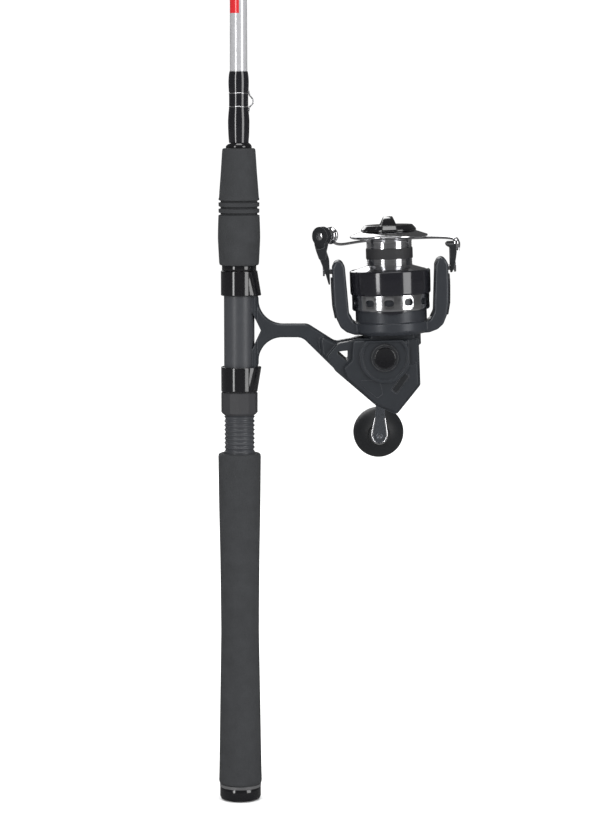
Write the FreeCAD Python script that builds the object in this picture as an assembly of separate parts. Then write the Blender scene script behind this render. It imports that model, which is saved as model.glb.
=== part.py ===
import FreeCAD, Part
import math
import os
from FreeCAD import Placement, Rotation, Vector

# A two-handed spinning rod with its reel, standing on the butt.
# +Z runs up the rod from the butt's end face, the reel hangs toward +X, and the crank is on +Y.
# The reel has a frame of its own: its z is the main shaft, its x points away from the rod.

# ---- fits ----
GLUE_LINE = 0.05
RUNNING_FIT = 0.06
SLIDING_FIT = 0.10
FREE_GAP = 0.30

# ---- rod ----
ROD_LENGTH = 2134.0
BLANK_START = 5.0
BLANK_STATIONS = [(BLANK_START, 7.5), (540.0, 6.3), (ROD_LENGTH - 4.0, 1.1)]
BLANK_WALL_BUTT = 1.2
BLANK_WALL_TIP = 0.6

BUTT_RADIUS = 15.1
BUTT_HEIGHT = 9.0
BUTT_TRIM_HEIGHT = 2.5
BUTT_FILLET = 2.2
REAR_GRIP_TOP = 257.5
REAR_GRIP_PROFILE = [(2.0, 15.85), (17.0, 15.5), (62.0, 14.8), (107.0, 14.05), (123.0, 14.0),
                     (167.0, 14.4), (205.0, 15.1), (246.0, 15.6)]
GRIP_EDGE = 1.6

# ---- reel seat ----
SEAT_RADIUS = 11.1
SEAT_BOTTOM = 252.0
SEAT_TOP = 397.0
THREAD_START = 259.0
THREAD_END = 314.0
THREAD_PITCH = 3.2
THREAD_DEPTH = 0.8
HOOD_RADIUS = 13.3
HOOD_LENGTH = 18.0
FOOT_CENTRE = 347.0
FOOT_LENGTH = 72.0
FOOT_INSERT = 10.0
FOOT_HALF_WIDTH = 7.0
FOOT_TOP_RADIUS = 13.7
FOOT_TIP_RADIUS = 13.0
FOOT_FIT = 0.25
HOOD_BULGE_REACH = 16.1
HOOD_BULGE_RADIUS = 10.8
HOOD_TRAVEL = 24.0
NUT_RADIUS = 13.3
NUT_LENGTH = 16.4
NUT_FLATS = 12
NUT_COLLAR_RADIUS = 12.2
NUT_COLLAR_LENGTH = 1.6
NUT_GAP = 0.6
HOOD_TRIM_RADIUS = 12.5
HOOD_TRIM_HEIGHT = 4.0
FORE_GRIP_LENGTH = 84.5
FORE_GRIP_PROFILE = [(2.2, 14.5), (18.0, 15.3), (24.0, 15.3), (34.0, 15.0), (49.0, 14.3), (66.0, 13.2),
                     (82.0, 12.1)]
GROOVE_START = 36.5
GROOVE_PITCH = 4.5
GROOVE_WIDTH = 1.3
GROOVE_DEPTH = 1.8
CHECK_RADIUS = 9.4
CHECK_HEIGHT = 4.0
KEEPER_WRAP_LENGTH = 51.0
KEEPER_WRAP_PROFILE = [(0.0, 7.1), (15.5, 7.75), (25.0, 7.0), (34.5, 7.0), (43.5, 7.35), (51.0, 6.6)]
KEEPER_WIRE_RADIUS = 0.55

# ---- guides: distance of the ring from the rod's tip, ring's inner radius, height over the blank ----
GUIDES = [(1000.0, 12.5, 30.0), (670.0, 8.0, 20.0), (430.0, 4.8, 13.0), (250.0, 3.8, 9.5),
          (110.0, 2.9, 7.5)]
RING_WALL = 1.0
RING_HEIGHT = 2.4
FRAME_WALL = 0.9
FRAME_HEIGHT = 2.0
GUIDE_LEG_RADIUS = 0.8
GUIDE_FOOT_LENGTH = 12.0
GUIDE_FOOT_WIDTH = 2.4
GUIDE_FOOT_THICKNESS = 0.9
WRAP_THICKNESS = 1.25
WRAP_MARGIN = 2.5
TIP_RING_RADIUS = 2.5
TIP_TUBE_LENGTH = 12.0

# ---- reel: where it sits and its main shaft ----
REEL_REACH = 111.5
REEL_HEIGHT = 331.0
REEL_TILT = -2.0
SHAFT_RADIUS = 1.75
SHAFT_BOTTOM = -22.0
SHAFT_TOP = 92.0
SPOOL_DROP = 6.0
SPOOL_RISE = 8.0

# ---- reel body ----
CRANK_X = -6.0
CRANK_Z = -1.8
BODY_HALF_WIDTH = 14.5
BODY_WALL = 2.4
BODY_OUTLINE = [(-39.4, 9.4), (-30.6, 10.8), (-25.4, 12.6), (19.0, 12.0), (19.2, -22.7), (1.2, -43.8),
                (-13.3, -36.9), (-42.2, -10.3), (-48.0, 0.0)]
CAVITY_OUTLINE = [(-29.0, 9.6), (16.6, 9.6), (16.6, -21.6), (0.8, -40.0), (-12.6, -33.7), (-29.0, -18.4)]
COVER_LEFT = [(-12.9, -35.6), (-33.6, -16.4), (-36.2, -8.0), (-30.2, -3.0), (-29.6, 5.0), (-28.8, 11.2)]
COVER_BASE_OUTLINE = [(17.8, 10.8), (17.8, -22.2), (0.9, -42.2)] + COVER_LEFT
COVER_PANEL_OUTLINE = [(11.2, 10.9), (11.2, -9.6), (17.8, -3.6), (17.8, -22.2), (0.9, -42.2)] + COVER_LEFT
COVER_BASE_THICKNESS = 1.4
COVER_THICKNESS = 2.8
COVER_INNER_Y = -BODY_HALF_WIDTH
COVER_OUTER_Y = COVER_INNER_Y - COVER_THICKNESS
CAVITY_FAR_Y = BODY_HALF_WIDTH - BODY_WALL
COVER_SCREWS = [(14.4, 7.4), (13.6, -19.6), (-26.8, 7.4), (-8.4, -34.0)]
SCREW_RADIUS = 1.2
SCREW_HEAD_RADIUS = 2.3
WINDOW_OUTLINE = [(-41.0, 3.4), (-32.4, 4.2), (-32.8, -4.4)]
BEZEL_RADIUS = 18.2
BEZEL_INNER_RADIUS = 16.0
BEZEL_HEIGHT = 1.8
CAP_RADIUS = 10.2
CAP_FACE_RADIUS = 8.0
CAP_HEIGHT = 3.6
BOSS_RADIUS = 21.0
BOSS_TOP = 19.6
NECK_RADIUS = 13.0
NECK_TOP = 34.0
CLUTCH_RADIUS = 10.5
CLUTCH_TOP = NECK_TOP - 1.5

# ---- stem and foot, in the rod's frame ----
STEM_HALF_WIDTH = 4.6
STEM_OUTLINE = [(12.0, 371.5), (14.1, 371.5), (14.1, 352.6, 17.0), (49.5, 352.6, 10.0), (69.5, 339.9, 6.0),
                (90.0, 343.5), (99.6, 296.0), (73.3, 315.5, 20.0), (45.8, 342.6, 9.0), (14.1, 342.6, 17.0),
                (14.1, 322.8), (12.0, 322.8)]
STEM_BEVEL = 1.3
FOOT_WINDOW = [(9.0, 361.6), (15.8, 347.6), (9.0, 333.0)]

# ---- gear train ----
PINION_TEETH = 10
FACE_TEETH = 52
PINION_TIP_RADIUS = 3.75
PINION_ROOT_RADIUS = 2.75
FACE_INNER_RADIUS = 15.7
FACE_OUTER_RADIUS = 19.2
FACE_TOP_Y = -2.9
FACE_SLOT_Y = -4.1
FACE_BACK_Y = -6.6
HUB_RADIUS = 3.4
BEARING_RADIUS = 6.5
BEARING_WIDTH = 3.4
DRIVE_TEETH = 14
OSCILLATION_TEETH = 28
SPUR_MODULE = 0.7
OSCILLATION_Z = CRANK_Z - SPUR_MODULE * (DRIVE_TEETH + OSCILLATION_TEETH) / 2
BEARING_FAR_Y = BODY_HALF_WIDTH - BEARING_WIDTH + 1.0
BEARING_NEAR_Y = COVER_OUTER_Y + 1.0
SPUR_Y = 3.5
SPUR_WIDTH = 3.0
SLIDER_REST_Z = -17.5
SLIDER_HALF_HEIGHT = 3.0
SLIDER_HALF_DEPTH = 2.6
RAIL_RADIUS = 1.2
RAIL_XS = (-17.0, 8.0)
RAIL_BOTTOM = -29.8
RAIL_TOP = -2.5
PIN_RADIUS = 1.2

# ---- rotor and bail ----
DRUM_RADIUS = 25.9
DRUM_WALL = 1.8
DRUM_TOP = 50.0
ROTOR_BOTTOM = 14.6
FLANGE_RADIUS = 27.8
FLANGE_TOP = 23.2
ARM_HALF_WIDTH = 12.0
ARM_INNER_RADIUS = 30.2
ARM_OUTER_X = 42.0
ARM_CHAMFER = 1.6
ARM_CORNER = 3.0
ARM_PROFILE = [(20.0, 14.6), (27.0, 14.9), (33.0, 17.0), (37.2, 20.6), (40.0, 27.0), (41.6, 36.0),
               (42.0, 48.0),
               (42.0, 64.0), (39.6, 68.8), (35.0, 68.8), (32.6, 64.0), (30.6, 30.0), (27.0, 23.2), (20.0,
                                                                                                    23.2)]
ARM_COVER_OUTLINE = [(-7.5, 27.0), (7.5, 27.0), (9.0, 40.0), (8.0, 53.0), (4.0, 56.5), (-4.0, 56.5),
                     (-8.0, 53.0),
                     (-9.0, 40.0)]
ARM_COVER_THICKNESS = 1.2
SPRING_POCKET_RADIUS = 6.2
SPRING_RADIUS = 4.6
SPRING_WIRE_RADIUS = 0.5
SPRING_PITCH = 0.9
SPRING_TURNS = 4
WEB_BOTTOM = 37.0
WEB_TOP = 40.0
ROTOR_NUT_TOP = 45.5
SPRING_Z = 46.0
PIVOT_Z = 61.0
PIVOT_RADIUS = 2.0
PIVOT_LEFT_FACE = 47.3
PIVOT_RIGHT_FACE = 46.6
ROLLER_LEVER_FRONT = [(-43.7, 50.4), (-44.5, 50.4), (-46.9, 60.0), (-50.2, 69.0), (-52.8, 79.0),
                      (-53.4, 88.0),
                      (-46.9, 88.0), (-46.3, 79.0), (-43.7, 69.5)]
ROLLER_LEVER_SIDE = [(0.0, 50.4), (5.2, 56.0), (8.0, 63.0), (4.0, 72.0), (-2.0, 82.0), (-6.0, 86.0),
                     (-11.4, 84.0),
                     (-9.6, 74.0), (-8.4, 62.0), (-5.6, 55.0)]
BAIL_LEVER_FRONT = [(43.7, 57.0), (45.2, 57.0), (47.4, 64.6), (48.7, 72.0), (48.7, 79.0), (47.4, 80.4),
                    (42.2, 80.4),
                    (40.6, 78.8), (41.2, 76.8), (43.7, 75.4)]
BAIL_LEVER_SIDE = [(0.0, 57.0), (5.6, 59.5), (6.6, 65.0), (5.0, 73.0), (5.0, 78.0), (0.0, 80.4),
                   (-5.0, 78.0),
                   (-5.0, 73.0), (-6.6, 65.0), (-5.6, 59.5)]
ROLLER_CENTRE = Vector(-48.8, -8.0, 87.0)
ROLLER_AXIS = Vector(0.62, 0.785, 0.0).normalize()
ROLLER_HEAD_RADIUS = 7.0
ROLLER_BOLT_RADIUS = 1.8
BAIL_WIRE_RADIUS = 1.0
BAIL_WIRE_ROUTE = [(-40.6, 3.4, 82.6), (-38.6, 8.6, 79.6), (-34.0, 19.0, 79.0), (-27.6, 31.0, 79.4),
                   (-16.0, 42.5, 80.2), (3.0, 48.5, 80.6), (23.0, 43.5, 80.8), (38.0, 29.5, 81.4),
                   (46.6, 16.0, 81.0), (50.8, 7.0, 79.4), (50.8, 0.6, 76.6), (49.6, 0.0, 71.6)]

# ---- spool ----
SPOOL_SEAT = 56.2
LIP_RADIUS = 28.2
LIP_BOTTOM = 84.0
LIP_TOP = 87.4
SPOOL_TOP = 88.6
ARBOR_RADIUS = 16.5
ARBOR_BOTTOM = 63.9
SKIRT_TOP = 60.8
SKIRT_TOP_RADIUS = 29.3
SKIRT_BOTTOM_RADIUS = 28.9
SKIRT_BOTTOM = 32.0
SKIRT_INNER_RADIUS = 26.6
PORT_BAND_RADIUS = 28.2
PORT_BAND_TOP = 43.5
PORTS = 12
PORT_WIDTH = 7.0
PORT_HEIGHT = 4.6
PORT_Z = 38.2
BAND_BOTTOM = 69.0
BAND_TOP = 76.6
BAND_RADIUS = 17.0
DRAG_CAVITY_RADIUS = 14.2
DRAG_FLOOR = 71.0
DRAG_DISCS = 6
DRAG_DISC_PITCH = 2.0
KNOB_RADIUS = 20.0
KNOB_TOP_RADIUS = 17.3
KNOB_TOP = 93.3
FIN_TOP = 99.5

# ---- crank handle ----
BOSS_FACE_Y = BODY_HALF_WIDTH + 2.5
HUB_FACE_Y = BOSS_FACE_Y + 17.0
END_FACE_Y = HUB_FACE_Y + 24.0
ARM_THICKNESS = 4.0
ARM_WIDTH = 7.0
CRANK_LENGTH = 66.5
CRANK_ANGLE = 3.6
ARM_HUB_RADIUS = 6.6
ARM_END_RADIUS = 6.2
SHANK_RADIUS = 2.2
SHANK_COLLAR_RADIUS = 4.8
BALL_RADIUS = 19.2
KNOB_GAP = 1.2
KNOB_NECK_RADIUS = 8.0
KNOB_NECK_LENGTH = 6.0
AXLE_RADIUS = 2.5
BUSHING_RADIUS = 4.2


# ------------------------------------------------------------------ shape helpers

def z_cylinder(radius, z0, z1, x=0.0, y=0.0):
    return Part.makeCylinder(radius, z1 - z0, Vector(x, y, z0))


def y_cylinder(radius, y0, y1, x, z):
    return Part.makeCylinder(radius, y1 - y0, Vector(x, y0, z), Vector(0, 1, 0))


def x_cylinder(radius, x0, x1, y, z):
    return Part.makeCylinder(radius, x1 - x0, Vector(x0, y, z), Vector(1, 0, 0))


def box(x0, x1, y0, y1, z0, z1):
    return Part.makeBox(x1 - x0, y1 - y0, z1 - z0, Vector(x0, y0, z0))


def tube(outer, inner, z0, z1):
    return z_cylinder(outer, z0, z1).cut(z_cylinder(inner, z0 - 1, z1 + 1))


def turned(profile):
    """Solid turned about Z from a closed list of (radius, z)."""
    points = [Vector(radius, 0, z) for radius, z in profile]
    outline = Part.makePolygon(points + points[:1])
    return Part.Face(outline).revolve(Vector(0, 0, 0), Vector(0, 0, 1), 360)


def corner_arc(before, corner, after, radius, share):
    """Start, middle and end of the tangent arc that rounds one corner, on at most a share of each run."""
    back = before - corner
    ahead = after - corner
    half_turn = (math.pi - back.getAngle(ahead)) / 2
    reach = min(radius * math.tan(half_turn), share * min(back.Length, ahead.Length))
    true_radius = reach / math.tan(half_turn)
    back.normalize()
    ahead.normalize()
    inward = back + ahead
    inward.normalize()
    middle = corner + inward * (true_radius * (1 / math.cos(half_turn) - 1))
    return corner + back * reach, middle, corner + ahead * reach


def rounded_wire(points, radii, closed=True, share=0.45):
    """Straight runs joined by tangent arcs; a corner whose radius is 0 stays sharp."""
    count = len(points)
    corners = range(count) if closed else range(1, count - 1)
    arcs = []
    for i in corners:
        if radii[i] > 0:
            arcs.append(corner_arc(points[i - 1], points[i], points[(i + 1) % count], radii[i],
                                   share))
        else:
            arcs.append((points[i], None, points[i]))
    place = arcs[-1][2] if closed else points[0]
    edges = []
    for start, middle, end in arcs:
        edges.append(Part.makeLine(place, start))
        if middle is not None:
            edges.append(Part.Arc(start, middle, end).toShape())
        place = end
    if not closed:
        edges.append(Part.makeLine(place, points[-1]))
    return Part.Wire(edges)


def plate(outline, y0, y1, corner=0.0, share=0.45):
    """Flat plate from y0 to y1; its outline is (x, z) points, some with a corner radius of their own."""
    points = [Vector(point[0], y0, point[1]) for point in outline]
    radii = [point[2] if len(point) == 3 else corner for point in outline]
    return Part.Face(rounded_wire(points, radii, True, share)).extrude(Vector(0, y1 - y0, 0))


def rim_edges(shape, y):
    """Edges of a plate that lie in the plane at y."""
    return [edge for edge in shape.Edges
            if abs(edge.BoundBox.YMin - y) < 1e-4 and abs(edge.BoundBox.YMax - y) < 1e-4]


def bevelled_plate(outline, y0, y1, corner, bevel, sides):
    """Plate whose rim is bevelled at each y in sides."""
    solid = plate(outline, y0, y1, corner)
    edges = []
    for y in sides:
        edges.extend(rim_edges(solid, y))
    return solid.makeChamfer(bevel, edges)


def round_bar(points, bend, radius):
    """Round wire that follows a route of straight runs and tangent arcs."""
    path = rounded_wire(points, [bend] * len(points), closed=False)
    section = Part.Wire(Part.makeCircle(radius, points[0], points[1] - points[0]))
    return path.makePipeShell([section], True, True)


def straight_bar(start, end, radius):
    run = end - start
    return Part.makeCylinder(radius, run.Length, start, run)


def toothed_wheel(teeth, root, tip, root_width, tip_width, z0, z1):
    """Spur wheel about Z with straight-sided teeth; the first tooth points along -Y."""
    points = []
    for tooth in range(teeth):
        turn = Rotation(Vector(0, 0, 1), 360.0 * tooth / teeth)
        for across, out in ((-root_width / 2, root), (-tip_width / 2, tip),
                            (tip_width / 2, tip), (root_width / 2, root)):
            points.append(turn.multVec(Vector(across, -out, z0)))
    outline = Part.makePolygon(points + points[:1])
    return Part.Face(outline).extrude(Vector(0, 0, z1 - z0))


def about_crank(shape, degrees):
    """The shape turned about the crank's axis."""
    turned_shape = shape.copy()
    turned_shape.rotate(Vector(CRANK_X, 0, CRANK_Z), Vector(0, 1, 0), degrees)
    return turned_shape


def mirrored_x(shape):
    return shape.mirror(Vector(0, 0, 0), Vector(1, 0, 0))


REEL_PLACE = Placement(Vector(REEL_REACH, 0, REEL_HEIGHT), Rotation(Vector(0, 1, 0), REEL_TILT))


def on_rod(shape):
    """A reel piece, moved from the reel's frame to the rod's."""
    placed = shape.copy()
    placed.Placement = REEL_PLACE.multiply(placed.Placement)
    return placed


NODES = {}


def keep(name, *solids):
    """Register one node, from one solid or from several that stay apart."""
    NODES[name] = solids[0] if len(solids) == 1 else Part.makeCompound(list(solids))


# ------------------------------------------------------------------ rod

def blank_radius(z):
    """Outer radius of the tapered blank at height z."""
    for (z0, r0), (z1, r1) in zip(BLANK_STATIONS, BLANK_STATIONS[1:]):
        if z <= z1 or z1 == BLANK_STATIONS[-1][0]:
            return r0 + (r1 - r0) * (z - z0) / (z1 - z0)
    return BLANK_STATIONS[-1][1]


def blank_bore(z0, z1):
    """Tapered plug that leaves a glue line around the blank between z0 and z1."""
    stations = [z0] + [z for z, _ in BLANK_STATIONS if z0 < z < z1] + [z1]
    profile = [(0.0, z0)]
    for z in stations:
        profile.append((blank_radius(z) + GLUE_LINE, z))
    profile.append((0.0, z1))
    return turned(profile)


def bored(solid):
    """The solid with the blank's bore through its whole height."""
    bounds = solid.BoundBox
    return solid.cut(blank_bore(bounds.ZMin - 1, bounds.ZMax + 1))


def smooth_grip(z0, length, profile):
    """Foam grip turned to a smooth outline, with rounded ends."""
    first_z, first_r = profile[0]
    last_z, last_r = profile[-1]
    z1 = z0 + length
    side = Part.BSplineCurve()
    side.interpolate([Vector(r, 0, z0 + z) for z, r in profile])
    slant = GRIP_EDGE * 0.3
    low = Part.Arc(Vector(first_r - GRIP_EDGE, 0, z0), Vector(first_r - slant, 0, z0 + slant),
                   Vector(first_r, 0, z0 + first_z)).toShape()
    high = Part.Arc(Vector(last_r, 0, z0 + last_z), Vector(last_r - slant, 0, z1 - slant),
                    Vector(last_r - GRIP_EDGE, 0, z1)).toShape()
    base = Part.makeLine(Vector(0, 0, z0), Vector(first_r - GRIP_EDGE, 0, z0))
    lid = Part.makeLine(Vector(last_r - GRIP_EDGE, 0, z1), Vector(0, 0, z1))
    core = Part.makeLine(Vector(0, 0, z1), Vector(0, 0, z0))
    face = Part.Face(Part.Wire([base, low, side.toShape(), high, lid, core]))
    return face.revolve(Vector(0, 0, 0), Vector(0, 0, 1), 360)


def make_blank():
    outer = turned([(0.0, BLANK_START)] + [(r, z) for z,
                                           r in BLANK_STATIONS] + [(0.0, BLANK_STATIONS[-1][0])])
    inner_profile = [(0.0, BLANK_START - 1)]
    last_z = BLANK_STATIONS[-1][0]
    for z, r in BLANK_STATIONS:
        share = (z - BLANK_START) / (last_z - BLANK_START)
        wall = BLANK_WALL_BUTT + (BLANK_WALL_TIP - BLANK_WALL_BUTT) * share
        inner_profile.append((r - wall, z + (1 if z == last_z else 0)))
    inner_profile[1] = (inner_profile[1][0], BLANK_START - 1)
    inner_profile.append((0.0, last_z + 1))
    keep("rod_blank", outer.cut(turned(inner_profile)))


def make_butt():
    cap = z_cylinder(BUTT_RADIUS, 0, BUTT_HEIGHT)
    cap = cap.makeFillet(BUTT_FILLET, [edge for edge in cap.Edges if edge.BoundBox.ZMax < 1e-4])
    keep("butt_cap", cap.cut(z_cylinder(blank_radius(BLANK_START) + GLUE_LINE, BLANK_START,
                                        BUTT_HEIGHT + 1)))
    keep("butt_trim_ring", bored(z_cylinder(BUTT_RADIUS + 0.1, BUTT_HEIGHT,
                                            BUTT_HEIGHT + BUTT_TRIM_HEIGHT)))


def make_rear_grip():
    base = BUTT_HEIGHT + BUTT_TRIM_HEIGHT
    length = REAR_GRIP_TOP - base
    profile = [(z * (length - 2.0) / 244.0 if z > 2.0 else z, r) for z, r in REAR_GRIP_PROFILE]
    profile[-1] = (length - 2.0, REAR_GRIP_PROFILE[-1][1])
    grip = bored(smooth_grip(base, length, profile))
    keep("rear_grip", grip.cut(z_cylinder(SEAT_RADIUS + GLUE_LINE, SEAT_BOTTOM, REAR_GRIP_TOP + 1)))


def make_seat():
    barrel = bored(z_cylinder(SEAT_RADIUS, SEAT_BOTTOM, SEAT_TOP))
    turns = int((THREAD_END - THREAD_START) / THREAD_PITCH)
    groove_r = SEAT_RADIUS - THREAD_DEPTH
    for turn in range(turns):
        z = THREAD_START + turn * THREAD_PITCH
        groove = turned([(groove_r, z + 0.9), (SEAT_RADIUS + 1, z + 0.2), (SEAT_RADIUS + 1, z + 2.6),
                         (groove_r, z + 1.9)])
        barrel = barrel.cut(groove)
    keep("reel_seat_barrel", barrel)


def foot_sector(inner, outer_low, outer_high, z0, z1, half_width):
    """Slice of a sleeve around the rod, on the reel's side, tapering from one end to the other."""
    ring = turned([(inner, z0), (outer_low, z0), (outer_high, z1), (inner, z1)])
    return ring.common(box(0, 40, -half_width, half_width, z0, z1))


def hood_shell(mouth_z, far_z):
    """Hood with a bulge on the reel's side that grows toward its mouth, and a pocket for the foot."""
    low_z = min(mouth_z, far_z)
    high_z = max(mouth_z, far_z)
    sleeve = z_cylinder(HOOD_RADIUS, low_z, high_z)
    mouth = Part.Wire(Part.makeCircle(HOOD_BULGE_RADIUS, Vector(HOOD_BULGE_REACH - HOOD_BULGE_RADIUS, 0,
                                                                mouth_z)))
    far = Part.Wire(Part.makeCircle(HOOD_RADIUS - 0.1, Vector(0, 0, far_z)))
    bulge = Part.makeLoft([mouth, far], True)
    hood = sleeve.fuse(bulge).removeSplitter()
    depth = FOOT_INSERT + 0.8
    toward = 1 if far_z > mouth_z else -1
    mouth_r = FOOT_TOP_RADIUS + FOOT_FIT
    deep_r = FOOT_TIP_RADIUS + FOOT_FIT
    ends = [(mouth_z - toward, mouth_r), (mouth_z + toward * depth, deep_r)]
    (pocket_low, low_r), (pocket_high, high_r) = sorted(ends)
    pocket = foot_sector(SEAT_RADIUS - 1, low_r, high_r, pocket_low, pocket_high, FOOT_HALF_WIDTH + FOOT_FIT)
    return hood.cut(pocket)


def make_hoods():
    foot_low = FOOT_CENTRE - FOOT_LENGTH / 2
    foot_high = FOOT_CENTRE + FOOT_LENGTH / 2
    fixed_mouth = foot_high - FOOT_INSERT
    slide_mouth = foot_low + FOOT_INSERT
    fixed = hood_shell(fixed_mouth, fixed_mouth + HOOD_LENGTH)
    keep("fixed_hood", fixed.cut(z_cylinder(SEAT_RADIUS + GLUE_LINE, 0, 500)))
    slide = hood_shell(slide_mouth, slide_mouth - HOOD_LENGTH)
    slide_bottom = slide_mouth - HOOD_LENGTH
    slide = slide.cut(z_cylinder(SEAT_RADIUS + SLIDING_FIT, 0, 500))
    counterbore = z_cylinder(NUT_COLLAR_RADIUS + FREE_GAP, slide_bottom - 1,
                             slide_bottom - NUT_GAP + NUT_COLLAR_LENGTH + FREE_GAP)
    keep("sliding_hood", slide.cut(counterbore))
    make_lock_nut(slide_bottom - NUT_GAP)
    trim_z = fixed_mouth + HOOD_LENGTH
    trim = z_cylinder(HOOD_TRIM_RADIUS, trim_z, trim_z + HOOD_TRIM_HEIGHT)
    keep("hood_trim_ring", trim.cut(z_cylinder(SEAT_RADIUS + GLUE_LINE, 0, 500)))


def make_lock_nut(top):
    bottom = top - NUT_LENGTH
    body = turned([(0, bottom), (NUT_RADIUS - 1.7, bottom), (NUT_RADIUS, bottom + 1.7),
                   (NUT_RADIUS, top - 0.6), (NUT_RADIUS - 0.6, top), (0, top)])
    flat = NUT_RADIUS * math.cos(math.pi / NUT_FLATS) + 0.05
    facets = Part.makePolygon([Vector(flat / math.cos(math.pi / NUT_FLATS) * math.cos(2 * math.pi * i / NUT_FLATS),
                                      flat / math.cos(math.pi / NUT_FLATS) * math.sin(2 * math.pi * i / NUT_FLATS),
                                      bottom) for i in range(NUT_FLATS + 1)])
    body = body.common(Part.Face(facets).extrude(Vector(0, 0, NUT_LENGTH)))
    body = body.fuse(z_cylinder(NUT_COLLAR_RADIUS, top, top + NUT_COLLAR_LENGTH))
    keep("lock_nut", body.cut(z_cylinder(SEAT_RADIUS + SLIDING_FIT, bottom - 1, top + 5)))


def fore_grip_base():
    return FOOT_CENTRE + FOOT_LENGTH / 2 - FOOT_INSERT + HOOD_LENGTH + HOOD_TRIM_HEIGHT


def make_fore_grip():
    base = fore_grip_base()
    grip = smooth_grip(base, FORE_GRIP_LENGTH, FORE_GRIP_PROFILE)
    grip = bored(grip).cut(z_cylinder(SEAT_RADIUS + GLUE_LINE, base - 1, SEAT_TOP + GLUE_LINE))
    for groove in range(3):
        z = base + GROOVE_START + groove * GROOVE_PITCH
        inner = 15.0 - GROOVE_DEPTH
        grip = grip.cut(tube(20, inner, z, z + GROOVE_WIDTH))
    keep("fore_grip", grip)


def make_front_trim():
    base = fore_grip_base() + FORE_GRIP_LENGTH
    check = turned([(0, base), (CHECK_RADIUS, base), (CHECK_RADIUS, base + 1.2),
                    (CHECK_RADIUS - 1.6, base + 3.2),
                    (7.2, base + CHECK_HEIGHT), (0, base + CHECK_HEIGHT)])
    keep("winding_check", bored(check))
    wrap_base = base + CHECK_HEIGHT
    side = Part.BSplineCurve()
    side.interpolate([Vector(r, 0, wrap_base + z) for z, r in KEEPER_WRAP_PROFILE])
    first_r = KEEPER_WRAP_PROFILE[0][1]
    last_r = KEEPER_WRAP_PROFILE[-1][1]
    top = wrap_base + KEEPER_WRAP_LENGTH
    wire = Part.Wire([Part.makeLine(Vector(0, 0, wrap_base), Vector(first_r, 0, wrap_base)), side.toShape(),
                      Part.makeLine(Vector(last_r, 0, top), Vector(0, 0, top)),
                      Part.makeLine(Vector(0, 0, top), Vector(0, 0, wrap_base))])
    wrap = bored(Part.Face(wire).revolve(Vector(0, 0, 0), Vector(0, 0, 1), 360))
    low = wrap_base + 25.5
    x = blank_radius(low) + GLUE_LINE * 2 + KEEPER_WIRE_RADIUS
    hook = round_bar([Vector(x, 0, low - 4), Vector(x + 0.9, 0, low + 0.2), Vector(x + 3.3, 0, low + 2.6),
                      Vector(x + 3.3, 0, low + 5.6), Vector(x + 0.9, 0, low + 8.4), Vector(x, 0,
                                                                                           low + 12.4)],
                     1.6, KEEPER_WIRE_RADIUS)
    keep("hook_keeper", hook)
    keep("keeper_wrap", wrap.cut(hook))


# ------------------------------------------------------------------ guides

def guide_ring(x, z, inner):
    """Smooth line ring, its axis along the rod."""
    ring = turned([(inner, z - RING_HEIGHT / 2 + 0.5), (inner + 0.4, z - RING_HEIGHT / 2),
                   (inner + RING_WALL, z - RING_HEIGHT / 2 + 0.3), (inner + RING_WALL,
                                                                    z + RING_HEIGHT / 2 - 0.3),
                   (inner + 0.4, z + RING_HEIGHT / 2), (inner, z + RING_HEIGHT / 2 - 0.5)])
    ring.translate(Vector(x, 0, 0))
    return ring


def guide_housing(x, z, inner):
    bore = inner + RING_WALL
    housing = tube(bore + FRAME_WALL, bore, z - FRAME_HEIGHT / 2, z + FRAME_HEIGHT / 2)
    housing.translate(Vector(x, 0, 0))
    return housing


def guide_foot(z0, z1):
    """Flat foot lying on the reel's side of the blank."""
    seat = max(blank_radius(z0), blank_radius(z1)) + GLUE_LINE
    return box(seat, seat + GUIDE_FOOT_THICKNESS, -GUIDE_FOOT_WIDTH / 2, GUIDE_FOOT_WIDTH / 2, z0, z1)


def make_guide(number, from_tip, inner, height):
    """Two-footed guide: a ring in its housing, two legs toward the butt and one toward the tip."""
    z = ROD_LENGTH - from_tip
    x = blank_radius(z) + height
    outer = inner + RING_WALL + FRAME_WALL
    spread = outer * 0.62
    drop = outer * 0.78
    back_z = z - height * 0.95
    front_z = z + height * 0.5
    back_x = blank_radius(back_z) + GLUE_LINE + GUIDE_FOOT_THICKNESS * 0.6
    front_x = blank_radius(front_z) + GLUE_LINE + GUIDE_FOOT_THICKNESS * 0.6
    frame = guide_housing(x, z, inner)
    for side in (-1, 1):
        leg = straight_bar(Vector(back_x + 0.6, side * 0.5, back_z), Vector(x - drop, side * spread, z),
                           GUIDE_LEG_RADIUS)
        frame = frame.fuse(leg)
    leg = straight_bar(Vector(front_x + 0.6, 0, front_z), Vector(x - outer + FRAME_WALL / 2, 0, z),
                       GUIDE_LEG_RADIUS)
    frame = frame.fuse(leg)
    feet = [guide_foot(back_z - GUIDE_FOOT_LENGTH, back_z + 1.5),
            guide_foot(front_z - 1.5, front_z + GUIDE_FOOT_LENGTH)]
    for foot in feet:
        frame = frame.fuse(foot)
    bore = z_cylinder(inner + RING_WALL, z - FRAME_HEIGHT, z + FRAME_HEIGHT, x)
    frame = frame.cut(bore).removeSplitter()
    keep(f"guide_frame_{number}", frame)
    keep(f"guide_ring_{number}", guide_ring(x, z, inner))
    wraps = []
    for low, high in ((back_z - GUIDE_FOOT_LENGTH - WRAP_MARGIN, back_z - 1.0),
                      (front_z + 1.0, front_z + GUIDE_FOOT_LENGTH + WRAP_MARGIN)):
        middle_radius = blank_radius((low + high) / 2) + WRAP_THICKNESS
        sleeve = turned([(0, low), (middle_radius - 0.7, low), (middle_radius, low + 2.0),
                         (middle_radius, high - 0.8), (middle_radius - 0.3, high), (0, high)])
        wraps.append(bored(sleeve).cut(frame))
    return wraps


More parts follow.
